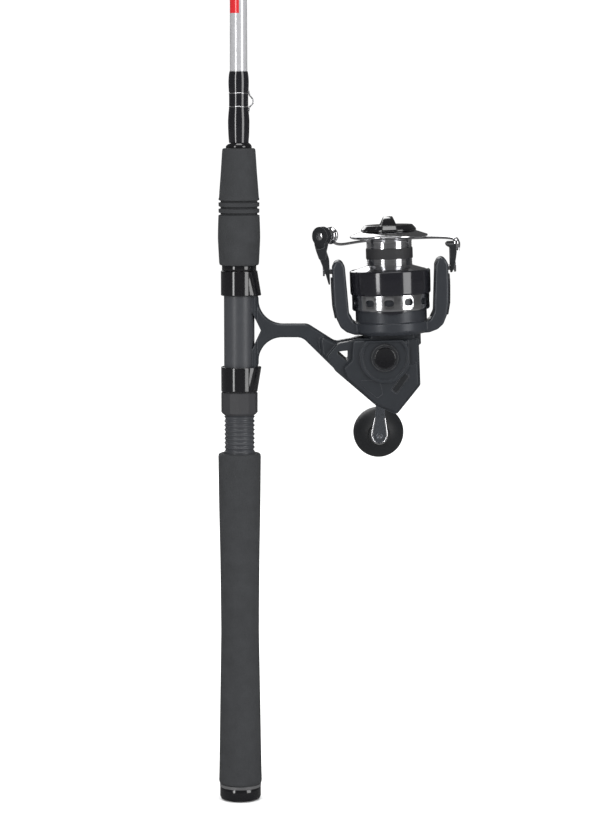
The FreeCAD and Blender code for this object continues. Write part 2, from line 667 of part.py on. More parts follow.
def make_guides():
    wraps = []
    for number, (from_tip, inner, height) in enumerate(GUIDES, start=1):
        wraps.extend(make_guide(number, from_tip, inner, height))
    keep("guide_wraps", *wraps)


def make_tip_top():
    """Tube over the blank's end that carries the last ring."""
    end = BLANK_STATIONS[-1][0]
    start = end - TIP_TUBE_LENGTH
    outer = blank_radius(start) + 0.6
    ring_z = ROD_LENGTH - RING_HEIGHT / 2
    ring_x = outer + TIP_RING_RADIUS + RING_WALL + FRAME_WALL + 0.3
    sleeve = z_cylinder(outer, start, end + 0.6).cut(blank_bore(start - 1, end + GLUE_LINE))
    housing = guide_housing(ring_x, ring_z, TIP_RING_RADIUS)
    frame = sleeve.fuse(housing)
    for side in (-1, 1):
        leg = straight_bar(Vector(outer - 0.3, side * 0.3, start + 3),
                           Vector(ring_x - 1.4, side * 3.9, ring_z - 0.2), 0.5)
        frame = frame.fuse(leg)
    web = straight_bar(Vector(0.4, 0, end + 0.1), Vector(ring_x - 4.0, 0, ring_z), 0.5)
    frame = frame.fuse(web)
    clear = z_cylinder(TIP_RING_RADIUS + RING_WALL, ring_z - 6, ring_z + 3, ring_x)
    frame = frame.cut(clear).cut(blank_bore(start - 1, end + GLUE_LINE)).removeSplitter()
    keep("tip_top_tube", frame)
    keep("tip_top_ring", guide_ring(ring_x, ring_z, TIP_RING_RADIUS))


# ------------------------------------------------------------------ reel body

def make_foot():
    """Foot that lies along the seat, with its ends under the hoods."""
    low = FOOT_CENTRE - FOOT_LENGTH / 2
    high = FOOT_CENTRE + FOOT_LENGTH / 2
    saddle = SEAT_RADIUS + GLUE_LINE
    end_low = foot_sector(saddle, FOOT_TIP_RADIUS, FOOT_TOP_RADIUS, low, low + FOOT_INSERT, FOOT_HALF_WIDTH)
    middle = foot_sector(saddle, FOOT_TOP_RADIUS, FOOT_TOP_RADIUS, low + FOOT_INSERT, high - FOOT_INSERT,
                         FOOT_HALF_WIDTH)
    end_high = foot_sector(saddle, FOOT_TOP_RADIUS, FOOT_TIP_RADIUS, high - FOOT_INSERT, high,
                           FOOT_HALF_WIDTH)
    return end_low.fuse(middle).fuse(end_high).removeSplitter()


def make_stem():
    """Forked stem between the foot and the body."""
    blade = plate(STEM_OUTLINE, -STEM_HALF_WIDTH, STEM_HALF_WIDTH, share=0.9)
    foot_x = STEM_OUTLINE[1][0]
    body_x = min(STEM_OUTLINE[5][0], STEM_OUTLINE[6][0])
    long_edges = [edge for edge in rim_edges(blade, -STEM_HALF_WIDTH) + rim_edges(blade, STEM_HALF_WIDTH)
                  if edge.BoundBox.XMax > foot_x + 0.1 and edge.BoundBox.XMin < body_x - 0.1
                  or edge.BoundBox.ZLength > 0.1 and foot_x - 0.1 < edge.BoundBox.XMin < body_x - 0.1]
    blade = blade.makeChamfer(STEM_BEVEL, long_edges)
    blade = blade.cut(z_cylinder(SEAT_RADIUS + GLUE_LINE, 300, 400))
    shoulder_outline = [(58.0, 344.6), (72.0, 338.2), (90.0, 338.2), (99.6, 300.0), (73.3, 317.0),
                        (60.0, 330.0)]
    shoulder = bevelled_plate(shoulder_outline, -8.5, 8.5, 2.5, 1.6, (-8.5, 8.5))
    return blade.fuse(shoulder)


def body_outside():
    """The casting's outer shape in the reel's frame, before it is hollowed."""
    width = BODY_HALF_WIDTH
    shell = plate(BODY_OUTLINE, -width, width, 3.0)
    shell = shell.makeFillet(2.2, rim_edges(shell, width))
    boss = z_cylinder(BOSS_RADIUS, 6.0, BOSS_TOP).fuse(z_cylinder(NECK_RADIUS, BOSS_TOP - 1, NECK_TOP))
    hub_boss = y_cylinder(11.0, width - 3, width + 1.5, CRANK_X, CRANK_Z)
    hub_boss = hub_boss.fuse(y_cylinder(8.6, width - 3, BOSS_FACE_Y, CRANK_X, CRANK_Z))
    return shell.fuse(boss.common(box(-40, 40, -width, width, 0, 60))).fuse(hub_boss)


def body_hollow():
    """The gear case, open on the cover's side, with room for the gear's rim and the pinion above it."""
    cavity = plate(CAVITY_OUTLINE, -BODY_HALF_WIDTH - 1, CAVITY_FAR_Y, 2.0)
    ceiling = BOSS_TOP - 1.3
    gear_room = y_cylinder(FACE_OUTER_RADIUS + 0.8, FACE_BACK_Y - 0.8, FACE_TOP_Y + 0.8, CRANK_X, CRANK_Z)
    gear_room = gear_room.common(box(-26.0, 30, -20, 20, 0, ceiling))
    return cavity.fuse(gear_room).fuse(z_cylinder(PINION_TIP_RADIUS + 0.9, 5, ceiling))


def make_body():
    whole = on_rod(body_outside()).fuse(make_foot()).fuse(make_stem())
    whole = whole.cut(on_rod(body_hollow()))
    posts = rail_bosses().fuse(oscillation_post()).fuse(screw_bosses())
    whole = whole.fuse(on_rod(posts))
    holes = [bearing_seats(), rails(), screw_holes(), plate(WINDOW_OUTLINE, -30, 30, 0.8)]
    for hole in holes:
        whole = whole.cut(on_rod(hole))
    keep("reel_body", whole.cut(plate(FOOT_WINDOW, -20, 20)).removeSplitter())


def bearing_seats():
    """Room for the crank's far bearing, the pinion's bearing and the one-way clutch."""
    far = y_cylinder(BEARING_RADIUS, CAVITY_FAR_Y - 1, BEARING_FAR_Y + BEARING_WIDTH, CRANK_X, CRANK_Z)
    shaft = y_cylinder(HUB_RADIUS + 0.4, CAVITY_FAR_Y - 1, BOSS_FACE_Y + 1, CRANK_X, CRANK_Z)
    pinion = z_cylinder(BEARING_RADIUS, BOSS_TOP, NECK_TOP + 1)
    throat = z_cylinder(PINION_TIP_RADIUS + 0.6, 5, BOSS_TOP + 1)
    clutch = z_cylinder(CLUTCH_RADIUS, BOSS_TOP + BEARING_WIDTH, NECK_TOP + 1)
    return far.fuse(shaft).fuse(pinion).fuse(throat).fuse(clutch)


def rails():
    rods = [z_cylinder(RAIL_RADIUS, RAIL_BOTTOM - 1.6, RAIL_TOP + 1.6, x) for x in RAIL_XS]
    return Part.makeCompound(rods)


def rail_bosses():
    bosses = None
    for x in RAIL_XS:
        for z in (RAIL_BOTTOM, RAIL_TOP):
            boss = y_cylinder(2.6, -2.0, CAVITY_FAR_Y + 0.5, x, z)
            bosses = boss if bosses is None else bosses.fuse(boss)
    return bosses


def oscillation_post():
    shoulder = y_cylinder(3.0, SPUR_Y + SPUR_WIDTH + FREE_GAP, CAVITY_FAR_Y + 0.5, CRANK_X, OSCILLATION_Z)
    return shoulder.fuse(y_cylinder(1.5, SPUR_Y - 0.2, CAVITY_FAR_Y, CRANK_X, OSCILLATION_Z))


def screw_bosses():
    posts = None
    for x, z in COVER_SCREWS:
        post = y_cylinder(2.4, COVER_INNER_Y, CAVITY_FAR_Y + 0.5, x, z)
        posts = post if posts is None else posts.fuse(post)
    return posts


def screw_holes():
    return Part.makeCompound([y_cylinder(SCREW_RADIUS + 0.15, COVER_INNER_Y - 1, BODY_HALF_WIDTH + 1, x, z)
                              .fuse(y_cylinder(SCREW_HEAD_RADIUS + 0.2, BODY_HALF_WIDTH - 1.4,
                                               BODY_HALF_WIDTH + 2, x, z))
                              for x, z in COVER_SCREWS])


def make_cover():
    base = plate(COVER_BASE_OUTLINE, COVER_INNER_Y - COVER_BASE_THICKNESS, COVER_INNER_Y, 2.0)
    panel = bevelled_plate(COVER_PANEL_OUTLINE, COVER_OUTER_Y, COVER_INNER_Y, 2.0, 1.0, (COVER_OUTER_Y,))
    cover = base.fuse(panel)
    bezel = y_cylinder(BEZEL_RADIUS, COVER_OUTER_Y - BEZEL_HEIGHT, COVER_OUTER_Y + 0.5, CRANK_X, CRANK_Z)
    bezel = bezel.common(box(-40, 11.2, -40, 0, -60, 11.0))
    cover = cover.fuse(bezel)
    well = y_cylinder(BEZEL_INNER_RADIUS, COVER_OUTER_Y - BEZEL_HEIGHT - 1, COVER_OUTER_Y - 0.4, CRANK_X,
                      CRANK_Z)
    well = well.common(box(-40, 9.8, -40, 0, -60, 9.6))
    cover = cover.cut(well)
    cover = cover.fuse(y_cylinder(BEARING_RADIUS + 2.0, BEARING_NEAR_Y, BEARING_NEAR_Y + BEARING_WIDTH,
                                  CRANK_X, CRANK_Z))
    cover = cover.cut(y_cylinder(BEARING_RADIUS, BEARING_NEAR_Y, BEARING_NEAR_Y + BEARING_WIDTH + 1,
                                 CRANK_X, CRANK_Z))
    cover = cover.cut(y_cylinder(HUB_RADIUS + 0.4, COVER_OUTER_Y - 5, 0, CRANK_X, CRANK_Z))
    for x, z in COVER_SCREWS:
        cover = cover.cut(y_cylinder(SCREW_RADIUS, COVER_INNER_Y - 1.0, COVER_INNER_Y + 1, x, z))
    keep("side_cover", on_rod(cover.removeSplitter()))
    cap_back = COVER_OUTER_Y - 0.4
    cap_front = cap_back - CAP_HEIGHT
    cap = y_cylinder(CAP_RADIUS, cap_front + 1.0, cap_back, CRANK_X, CRANK_Z)
    cap = cap.fuse(y_cylinder(CAP_FACE_RADIUS, cap_front, cap_back, CRANK_X, CRANK_Z))
    cap = cap.fuse(y_cylinder(HUB_RADIUS + 0.3, cap_back, cap_back + 0.5, CRANK_X, CRANK_Z))
    for step in range(24):
        notch = box(CRANK_X - 0.35, CRANK_X + 0.35, cap_front - 1, cap_back + 0.5,
                    CRANK_Z + CAP_RADIUS - 0.45,
                    CRANK_Z + CAP_RADIUS + 1)
        cap = cap.cut(about_crank(notch, 360.0 * step / 24))
    keep("crank_cap", on_rod(cap))
    screws = []
    for x, z in COVER_SCREWS:
        screw = y_cylinder(SCREW_RADIUS, COVER_INNER_Y - 0.9, BODY_HALF_WIDTH - 1.4, x, z)
        head = y_cylinder(SCREW_HEAD_RADIUS, BODY_HALF_WIDTH - 1.4, BODY_HALF_WIDTH - 0.1, x, z)
        slot = box(x - 1.6, x + 1.6, BODY_HALF_WIDTH - 0.7, BODY_HALF_WIDTH + 1, z - 0.25, z + 0.25)
        screws.append(on_rod(screw.fuse(head).cut(slot).removeSplitter()))
    keep("cover_screws", *screws)


def make_bearings():
    def bearing_y(y0):
        ring = y_cylinder(BEARING_RADIUS, y0, y0 + BEARING_WIDTH, CRANK_X, CRANK_Z)
        return ring.cut(y_cylinder(HUB_RADIUS + RUNNING_FIT, y0 - 1, y0 + BEARING_WIDTH + 1, CRANK_X,
                                   CRANK_Z))
    keep("crank_bearings", on_rod(bearing_y(BEARING_NEAR_Y)), on_rod(bearing_y(BEARING_FAR_Y)))
    neck = PINION_ROOT_RADIUS + RUNNING_FIT
    keep("pinion_bearing", on_rod(tube(BEARING_RADIUS, neck, BOSS_TOP, BOSS_TOP + BEARING_WIDTH)))
    clutch_base = BOSS_TOP + BEARING_WIDTH
    keep("roller_clutch", on_rod(tube(CLUTCH_RADIUS, neck + 0.04, clutch_base, CLUTCH_TOP - 1.0)))
    keep("clutch_retainer", on_rod(tube(CLUTCH_RADIUS, 6.0, CLUTCH_TOP - 1.0, CLUTCH_TOP)))
    keep("slider_rails", on_rod(rails()))


# ------------------------------------------------------------------ gear train

def make_drive_gear():
    ring = y_cylinder(FACE_OUTER_RADIUS, FACE_BACK_Y, FACE_TOP_Y, CRANK_X, CRANK_Z)
    ring = ring.cut(y_cylinder(FACE_INNER_RADIUS, FACE_SLOT_Y - 0.5, FACE_TOP_Y + 1, CRANK_X, CRANK_Z))
    slot_profile = [Vector(-0.65, FACE_TOP_Y + 0.01, 0), Vector(0.65, FACE_TOP_Y + 0.01, 0),
                    Vector(0.4, FACE_SLOT_Y, 0), Vector(-0.4, FACE_SLOT_Y, 0)]
    low = CRANK_Z + 12.0
    slot = Part.Face(Part.makePolygon([p + Vector(0, 0, low) for p in slot_profile + slot_profile[:1]]))
    slot = slot.extrude(Vector(0, 0, 10.0))
    slots = [about_crank(slot, 360.0 * tooth / FACE_TEETH) for tooth in range(FACE_TEETH)]
    ring = ring.cut(Part.makeCompound(slots))
    hub = y_cylinder(HUB_RADIUS, BEARING_NEAR_Y, BEARING_FAR_Y + BEARING_WIDTH, CRANK_X, CRANK_Z)
    collar = y_cylinder(HUB_RADIUS + 1.4, BEARING_NEAR_Y + BEARING_WIDTH + 0.2, FACE_BACK_Y + 0.2, CRANK_X,
                        CRANK_Z)
    gear = ring.fuse(hub).fuse(collar)
    wheel = spur(DRIVE_TEETH, 0.0)
    wheel.translate(Vector(CRANK_X, 0, CRANK_Z))
    far_collar = y_cylinder(HUB_RADIUS + 1.0, SPUR_Y + SPUR_WIDTH - 0.1, BEARING_FAR_Y - 0.2, CRANK_X,
                            CRANK_Z)
    gear = gear.fuse(wheel).fuse(far_collar)
    gear = gear.cut(y_cylinder(SHANK_RADIUS + GLUE_LINE, -11, 30, CRANK_X, CRANK_Z)).removeSplitter()
    keep("drive_gear", on_rod(gear))


def spur(teeth, offset_teeth):
    """Straight spur wheel about Y at the origin; its first tooth or gap looks down."""
    pitch_radius = SPUR_MODULE * teeth / 2
    wheel = toothed_wheel(teeth, pitch_radius - 0.75, pitch_radius + 0.5, 1.05, 0.45, 0, SPUR_WIDTH)
    wheel.rotate(Vector(0, 0, 0), Vector(0, 0, 1), 360.0 * offset_teeth / teeth)
    wheel.rotate(Vector(0, 0, 0), Vector(1, 0, 0), 90)
    wheel.translate(Vector(0, SPUR_Y + SPUR_WIDTH, 0))
    return wheel


def make_oscillation():
    wheel = spur(OSCILLATION_TEETH, 0.5)
    wheel.translate(Vector(CRANK_X, 0, OSCILLATION_Z))
    pin_drop = SLIDER_REST_Z - OSCILLATION_Z
    pin_circle = (SPOOL_DROP + SPOOL_RISE) / 2
    pin_x = CRANK_X + math.sqrt(pin_circle ** 2 - pin_drop ** 2)
    pin = y_cylinder(PIN_RADIUS, SLIDER_HALF_DEPTH + FREE_GAP, SPUR_Y + 0.5, pin_x, SLIDER_REST_Z)
    wheel = wheel.fuse(pin).cut(y_cylinder(1.5 + RUNNING_FIT, 0, 12, CRANK_X, OSCILLATION_Z))
    keep("oscillation_gear", on_rod(wheel))
    left, right = RAIL_XS
    slider = box(left - 2.4, right + 2.4, -SLIDER_HALF_DEPTH, SLIDER_HALF_DEPTH,
                 SLIDER_REST_Z - SLIDER_HALF_HEIGHT, SLIDER_REST_Z + SLIDER_HALF_HEIGHT)
    for x in RAIL_XS:
        slider = slider.cut(z_cylinder(RAIL_RADIUS + RUNNING_FIT, -40, 0, x))
    slider = slider.cut(box(CRANK_X - pin_circle - 1.6, CRANK_X + pin_circle + 1.6, SLIDER_HALF_DEPTH - 0.7,
                            SLIDER_HALF_DEPTH + 1, SLIDER_REST_Z - 1.5, SLIDER_REST_Z + 1.5))
    slider = slider.cut(z_cylinder(SHAFT_RADIUS + GLUE_LINE, SHAFT_BOTTOM, 0))
    keep("oscillation_slider", on_rod(slider))


def make_pinion():
    reach = FACE_OUTER_RADIUS + 0.4
    low = CRANK_Z + 14.0
    high = CRANK_Z + reach - 0.6
    teeth = toothed_wheel(PINION_TEETH, PINION_ROOT_RADIUS, PINION_TIP_RADIUS, 1.0, 0.5, low, high)
    sleeve = z_cylinder(PINION_ROOT_RADIUS, low, ROTOR_NUT_TOP - 0.5)
    pinion = teeth.fuse(sleeve).cut(z_cylinder(SHAFT_RADIUS + RUNNING_FIT, 0, 60)).removeSplitter()
    keep("pinion_gear", on_rod(pinion))


# ------------------------------------------------------------------ rotor and bail

def make_rotor():
    lower = turned([(0, ROTOR_BOTTOM), (FLANGE_RADIUS - 3.0, ROTOR_BOTTOM),
                    (FLANGE_RADIUS, ROTOR_BOTTOM + 2.4),
                    (FLANGE_RADIUS, FLANGE_TOP - 0.8), (FLANGE_RADIUS - 0.8, FLANGE_TOP), (DRUM_RADIUS,
                                                                                           FLANGE_TOP),
                    (DRUM_RADIUS, DRUM_TOP - 1.5), (DRUM_RADIUS - 1.5, DRUM_TOP), (0, DRUM_TOP)])
    rotor = lower.fuse(rotor_arm()).fuse(mirrored_x(rotor_arm()))
    below = z_cylinder(DRUM_RADIUS - DRUM_WALL - 1.2, ROTOR_BOTTOM - 1, WEB_BOTTOM)
    above = z_cylinder(DRUM_RADIUS - DRUM_WALL, WEB_TOP, DRUM_TOP + 1)
    rotor = rotor.cut(below).cut(above)
    rotor = rotor.fuse(tube(6.5, PINION_ROOT_RADIUS, NECK_TOP + 0.6, WEB_TOP + 1.5))
    rotor = rotor.cut(z_cylinder(PINION_ROOT_RADIUS + GLUE_LINE, 30, 60))
    rotor = rotor.cut(spring_pocket())
    for side in (-1, 1):
        rotor = rotor.cut(x_cylinder(PIVOT_RADIUS + GLUE_LINE, min(side * 33, side * 50),
                                     max(side * 33, side * 50), 0, PIVOT_Z))
    keep("rotor", on_rod(rotor.removeSplitter()))
    nut = tube(5.5, PINION_ROOT_RADIUS + GLUE_LINE, WEB_TOP + 1.5, ROTOR_NUT_TOP)
    keep("rotor_nut", on_rod(nut))


def rotor_arm():
    """The arm toward +X: an upright that is curved around the spool."""
    arm = bevelled_plate(ARM_PROFILE, -ARM_HALF_WIDTH, ARM_HALF_WIDTH, ARM_CORNER, ARM_CHAMFER,
                         (-ARM_HALF_WIDTH, ARM_HALF_WIDTH))
    return arm.cut(z_cylinder(ARM_INNER_RADIUS, FLANGE_TOP + 1.6, 80)).cut(z_cylinder(20, 0, 80))


def spring_pocket():
    return x_cylinder(SPRING_POCKET_RADIUS, -ARM_OUTER_X - 1, -ARM_OUTER_X + 4.4, 0, SPRING_Z)


def make_arm_covers():
    """Thin plates that follow the arms' outer faces; the left one closes the spring's pocket."""
    points = [Vector(ARM_OUTER_X - 8, y, z) for y, z in ARM_COVER_OUTLINE]
    block = Part.Face(rounded_wire(points, [3.0] * len(points))).extrude(Vector(12, 0, 0))
    above = [(x + GLUE_LINE, z) for x, z in ARM_PROFILE]
    outside = [(x + ARM_COVER_THICKNESS, z) for x, z in ARM_PROFILE]
    block = block.cut(plate(above, -ARM_HALF_WIDTH, ARM_HALF_WIDTH, ARM_CORNER))
    cover = block.common(plate(outside, -ARM_HALF_WIDTH, ARM_HALF_WIDTH, ARM_CORNER))
    keep("arm_cover_right", on_rod(cover))
    keep("arm_cover_left", on_rod(mirrored_x(cover)))


def make_bail_spring():
    """Coil spring in the left arm's pocket, drawn as closed turns that touch."""
    turns = None
    for turn in range(SPRING_TURNS):
        middle = Vector(1.05 - ARM_OUTER_X + SPRING_PITCH * turn, 0, SPRING_Z)
        ring = Part.makeTorus(SPRING_RADIUS, SPRING_WIRE_RADIUS, middle, Vector(1, 0, 0))
        turns = ring if turns is None else turns.fuse(ring)
    keep("bail_spring", on_rod(turns.removeSplitter()))


def lever(front, side):
    """Lever given by its front outline in (x, z) and its side outline in (y, z)."""
    x_low = min(x for x, _ in front)
    x_high = max(x for x, _ in front)
    points = [Vector(x_low, y, z) for y, z in side]
    body = Part.Face(rounded_wire(points, [2.4] * len(points))).extrude(Vector(x_high - x_low, 0, 0))
    return body.common(plate(front, -20, 20, 0.8))


def along_roller(radius, start, end):
    """Cylinder about the roller's axis, between two distances from the head's outer face."""
    return Part.makeCylinder(radius, end - start, ROLLER_CENTRE + ROLLER_AXIS * start, ROLLER_AXIS)


def pivot_screw(side, face):
    """Screw that holds a bail lever to its rotor arm; its head lies on the lever's outer face."""
    inner = ARM_OUTER_X - 7.5
    shank = x_cylinder(PIVOT_RADIUS, inner, face, 0, PIVOT_Z)
    head = x_cylinder(3.4, face, face + 1.4, 0, PIVOT_Z)
    screw = shank.fuse(head).removeSplitter()
    return on_rod(screw if side > 0 else mirrored_x(screw))


def make_bail():
    arm = lever(ROLLER_LEVER_FRONT, ROLLER_LEVER_SIDE)
    head = along_roller(ROLLER_HEAD_RADIUS, -2.5, 2.6)
    arm = arm.fuse(head).cut(along_roller(ROLLER_HEAD_RADIUS + 0.6, 2.6, 16.0)).removeSplitter()
    arm = arm.cut(along_roller(ROLLER_BOLT_RADIUS + GLUE_LINE, -3, 12))
    arm = arm.cut(x_cylinder(PIVOT_RADIUS + GLUE_LINE, -60, -30, 0, PIVOT_Z))
    arm = arm.cut(x_cylinder(3.6, -60, -PIVOT_LEFT_FACE, 0, PIVOT_Z))
    keep("roller_arm", on_rod(arm))
    right = lever(BAIL_LEVER_FRONT, BAIL_LEVER_SIDE)
    right = right.cut(x_cylinder(PIVOT_RADIUS + GLUE_LINE, 30, 60, 0, PIVOT_Z))
    right = right.cut(x_cylinder(3.6, PIVOT_RIGHT_FACE, 60, 0, PIVOT_Z))
    route = [Vector(*point) for point in BAIL_WIRE_ROUTE]
    loop = round_bar(route, 9.0, BAIL_WIRE_RADIUS)
    bolt = along_roller(ROLLER_BOLT_RADIUS, -0.6, 13.6)
    cone = along_roller(5.6, 11.6, 13.6)
    wire = loop.fuse(cone).fuse(bolt)
    keep("bail_wire", on_rod(wire.cut(right).removeSplitter()))
    keep("bail_arm", on_rod(right))
    screws = [pivot_screw(-1, PIVOT_LEFT_FACE), pivot_screw(1, PIVOT_RIGHT_FACE)]
    keep("bail_screws", *screws)
    roller = along_roller(6.4, 2.9, 4.2).fuse(along_roller(5.0, 4.2, 9.8)).fuse(along_roller(6.4, 9.8,
                                                                                             11.3))
    keep("line_roller", on_rod(roller.cut(along_roller(ROLLER_BOLT_RADIUS + RUNNING_FIT, 0,
                                                       14)).removeSplitter()))


# ------------------------------------------------------------------ main shaft and spool

def make_shaft():
    shaft = z_cylinder(SHAFT_RADIUS, SHAFT_BOTTOM, SHAFT_TOP)
    seat = z_cylinder(6.0, SPOOL_SEAT - 3.0, SPOOL_SEAT)
    keep("main_shaft", on_rod(shaft.fuse(seat)))


def make_spool():
    groove_r = ARBOR_RADIUS - 0.6
    outline = [(SHAFT_RADIUS + RUNNING_FIT, SPOOL_SEAT), (5.0, SPOOL_SEAT), (5.0, DRAG_FLOOR - 2.0),
               (DRAG_CAVITY_RADIUS, DRAG_FLOOR - 2.0), (DRAG_CAVITY_RADIUS, SKIRT_TOP - 2.0),
               (SKIRT_INNER_RADIUS, SKIRT_TOP - 2.0), (SKIRT_INNER_RADIUS, SKIRT_BOTTOM),
               (PORT_BAND_RADIUS - 0.4, SKIRT_BOTTOM), (PORT_BAND_RADIUS, SKIRT_BOTTOM + 1.0),
               (PORT_BAND_RADIUS, PORT_BAND_TOP), (SKIRT_BOTTOM_RADIUS, PORT_BAND_TOP),
               (SKIRT_TOP_RADIUS, SKIRT_TOP - 0.8), (SKIRT_TOP_RADIUS - 0.8, SKIRT_TOP),
               (ARBOR_RADIUS, ARBOR_BOTTOM)]
    for z in (64.9, 66.3, 67.7):
        outline.extend([(ARBOR_RADIUS, z), (groove_r, z + 0.15), (groove_r, z + 0.55),
                        (ARBOR_RADIUS, z + 0.7)])
    outline.extend([(ARBOR_RADIUS, BAND_BOTTOM), (ARBOR_RADIUS - 0.8, BAND_BOTTOM),
                    (ARBOR_RADIUS - 0.8, BAND_TOP),
                    (ARBOR_RADIUS, BAND_TOP)])
    for z in (77.4, 78.8, 80.2):
        outline.extend([(ARBOR_RADIUS, z), (groove_r, z + 0.15), (groove_r, z + 0.55),
                        (ARBOR_RADIUS, z + 0.7)])
    outline.extend([(ARBOR_RADIUS, LIP_BOTTOM - 1.2), (LIP_RADIUS - 1.0, LIP_BOTTOM),
                    (LIP_RADIUS, LIP_BOTTOM + 0.8),
                    (LIP_RADIUS - 0.2, LIP_BOTTOM + 1.8), (KNOB_RADIUS + 0.4, SPOOL_TOP),
                    (DRAG_CAVITY_RADIUS, SPOOL_TOP), (DRAG_CAVITY_RADIUS, DRAG_FLOOR),
                    (SHAFT_RADIUS + RUNNING_FIT, DRAG_FLOOR)])
    spool = turned(outline)
    lug = tube(PORT_BAND_RADIUS - 0.4, SKIRT_INNER_RADIUS, SKIRT_BOTTOM - 2.0, SKIRT_BOTTOM + 0.5)
    lug = lug.common(y_cylinder(30.0, -40, 0, 0, SKIRT_BOTTOM + 28.0))
    spool = spool.fuse(lug)
    ports = []
    for port in range(PORTS):
        middle = box(-(PORT_WIDTH - PORT_HEIGHT) / 2, (PORT_WIDTH - PORT_HEIGHT) / 2, -32, -24,
                     PORT_Z - PORT_HEIGHT / 2, PORT_Z + PORT_HEIGHT / 2)
        for side in (-1, 1):
            middle = middle.fuse(y_cylinder(PORT_HEIGHT / 2, -32, -24,
                                            side * (PORT_WIDTH - PORT_HEIGHT) / 2, PORT_Z))
        middle.rotate(Vector(0, 0, 0), Vector(0, 0, 1), 360.0 * port / PORTS - 4.3)
        ports.append(middle)
    spool = spool.cut(Part.makeCompound(ports))
    keep("spool", on_rod(spool))
    keep("arbor_band", on_rod(tube(BAND_RADIUS, ARBOR_RADIUS - 0.8, BAND_BOTTOM, BAND_TOP)))
    discs = []
    for disc in range(DRAG_DISCS):
        z = DRAG_FLOOR + disc * DRAG_DISC_PITCH
        discs.append(on_rod(tube(DRAG_CAVITY_RADIUS - 0.3, SHAFT_RADIUS + 0.1, z,
                                 z + DRAG_DISC_PITCH - 0.05)))
    keep("drag_washers", *discs)


def make_drag_knob():
    base = SPOOL_TOP + FREE_GAP
    plug = DRAG_FLOOR + DRAG_DISCS * DRAG_DISC_PITCH + FREE_GAP
    knob = turned([(0, plug), (DRAG_CAVITY_RADIUS - 0.5, plug), (DRAG_CAVITY_RADIUS - 0.5, base),
                   (KNOB_RADIUS, base),
                   (KNOB_RADIUS, base + 1.2), (KNOB_TOP_RADIUS, KNOB_TOP), (0, KNOB_TOP)])
    fin = lever_fin()
    knob = knob.fuse(fin).removeSplitter()
    keep("drag_knob", on_rod(knob.cut(z_cylinder(SHAFT_RADIUS + RUNNING_FIT, plug - 1, SHAFT_TOP + 0.5))))


def lever_fin():
    """Grip bar across the top of the drag knob."""
    outline = [(-7.0, KNOB_TOP - 2.4), (7.0, KNOB_TOP - 2.4), (5.6, KNOB_TOP - 0.2), (3.0, FIN_TOP),
               (-3.4, FIN_TOP), (-6.0, KNOB_TOP - 0.2)]
    bar = plate(outline, -KNOB_TOP_RADIUS, KNOB_TOP_RADIUS)
    dome = Part.makeSphere(24.0, Vector(0, 0, FIN_TOP - 23.9))
    return bar.common(dome).common(z_cylinder(KNOB_TOP_RADIUS, 80, 110))


# ------------------------------------------------------------------ crank handle

def crank_point(distance):
    """Place on the arm's centre line, at a distance from the crank's axis."""
    angle = math.radians(CRANK_ANGLE)
    return CRANK_X - distance * math.sin(angle), CRANK_Z - distance * math.cos(angle)


def make_handle():
    """Crank arm that slopes outward, so that it clears the spinning rotor, with its shank and axle."""
    shank = y_cylinder(SHANK_RADIUS, -10, HUB_FACE_Y + ARM_THICKNESS, CRANK_X, CRANK_Z)
    collar = y_cylinder(SHANK_COLLAR_RADIUS, BOSS_FACE_Y + FREE_GAP, HUB_FACE_Y, CRANK_X, CRANK_Z)
    keep("handle_shank", on_rod(shank.fuse(collar).removeSplitter()))
    half = ARM_WIDTH / 2
    end_z = CRANK_Z - CRANK_LENGTH
    low_y = HUB_FACE_Y - 5
    high_y = END_FACE_Y + 10
    plan = plate([(CRANK_X - half, CRANK_Z), (CRANK_X + half, CRANK_Z), (CRANK_X + half, end_z),
                  (CRANK_X - half, end_z)], low_y, high_y)
    flare = plate([(CRANK_X - half, end_z + 18), (CRANK_X + half, end_z + 18),
                   (CRANK_X + ARM_END_RADIUS, end_z),
                   (CRANK_X - ARM_END_RADIUS, end_z)], low_y, high_y)
    plan = plan.fuse(flare).fuse(y_cylinder(ARM_END_RADIUS, low_y, high_y, CRANK_X, end_z))
    plan = plan.fuse(y_cylinder(ARM_HUB_RADIUS, low_y, high_y, CRANK_X, CRANK_Z)).removeSplitter()
    bend_low = end_z + 14.0
    bend_high = CRANK_Z - 9.0
    side = [(HUB_FACE_Y, CRANK_Z + 8), (HUB_FACE_Y, bend_high), (END_FACE_Y, bend_low),
            (END_FACE_Y, end_z - 8),
            (END_FACE_Y + ARM_THICKNESS, end_z - 8), (END_FACE_Y + ARM_THICKNESS, bend_low + 1.1),
            (HUB_FACE_Y + ARM_THICKNESS, bend_high + 1.1), (HUB_FACE_Y + ARM_THICKNESS, CRANK_Z + 8)]
    radii = [0, 8.0, 8.0, 0, 0, 8.0, 8.0, 0]
    outline = Part.Face(rounded_wire([Vector(CRANK_X - 10, y, z) for y, z in side], radii))
    arm = about_crank(plan.common(outline.extrude(Vector(20, 0, 0))), CRANK_ANGLE)
    arm = arm.cut(y_cylinder(SHANK_RADIUS, low_y, high_y, CRANK_X, CRANK_Z))
    knob_x, knob_z = crank_point(CRANK_LENGTH)
    keep("handle_arm", on_rod(arm.cut(y_cylinder(AXLE_RADIUS, low_y, high_y, knob_x,
                                                 knob_z)).removeSplitter()))
    make_knob(knob_x, knob_z)


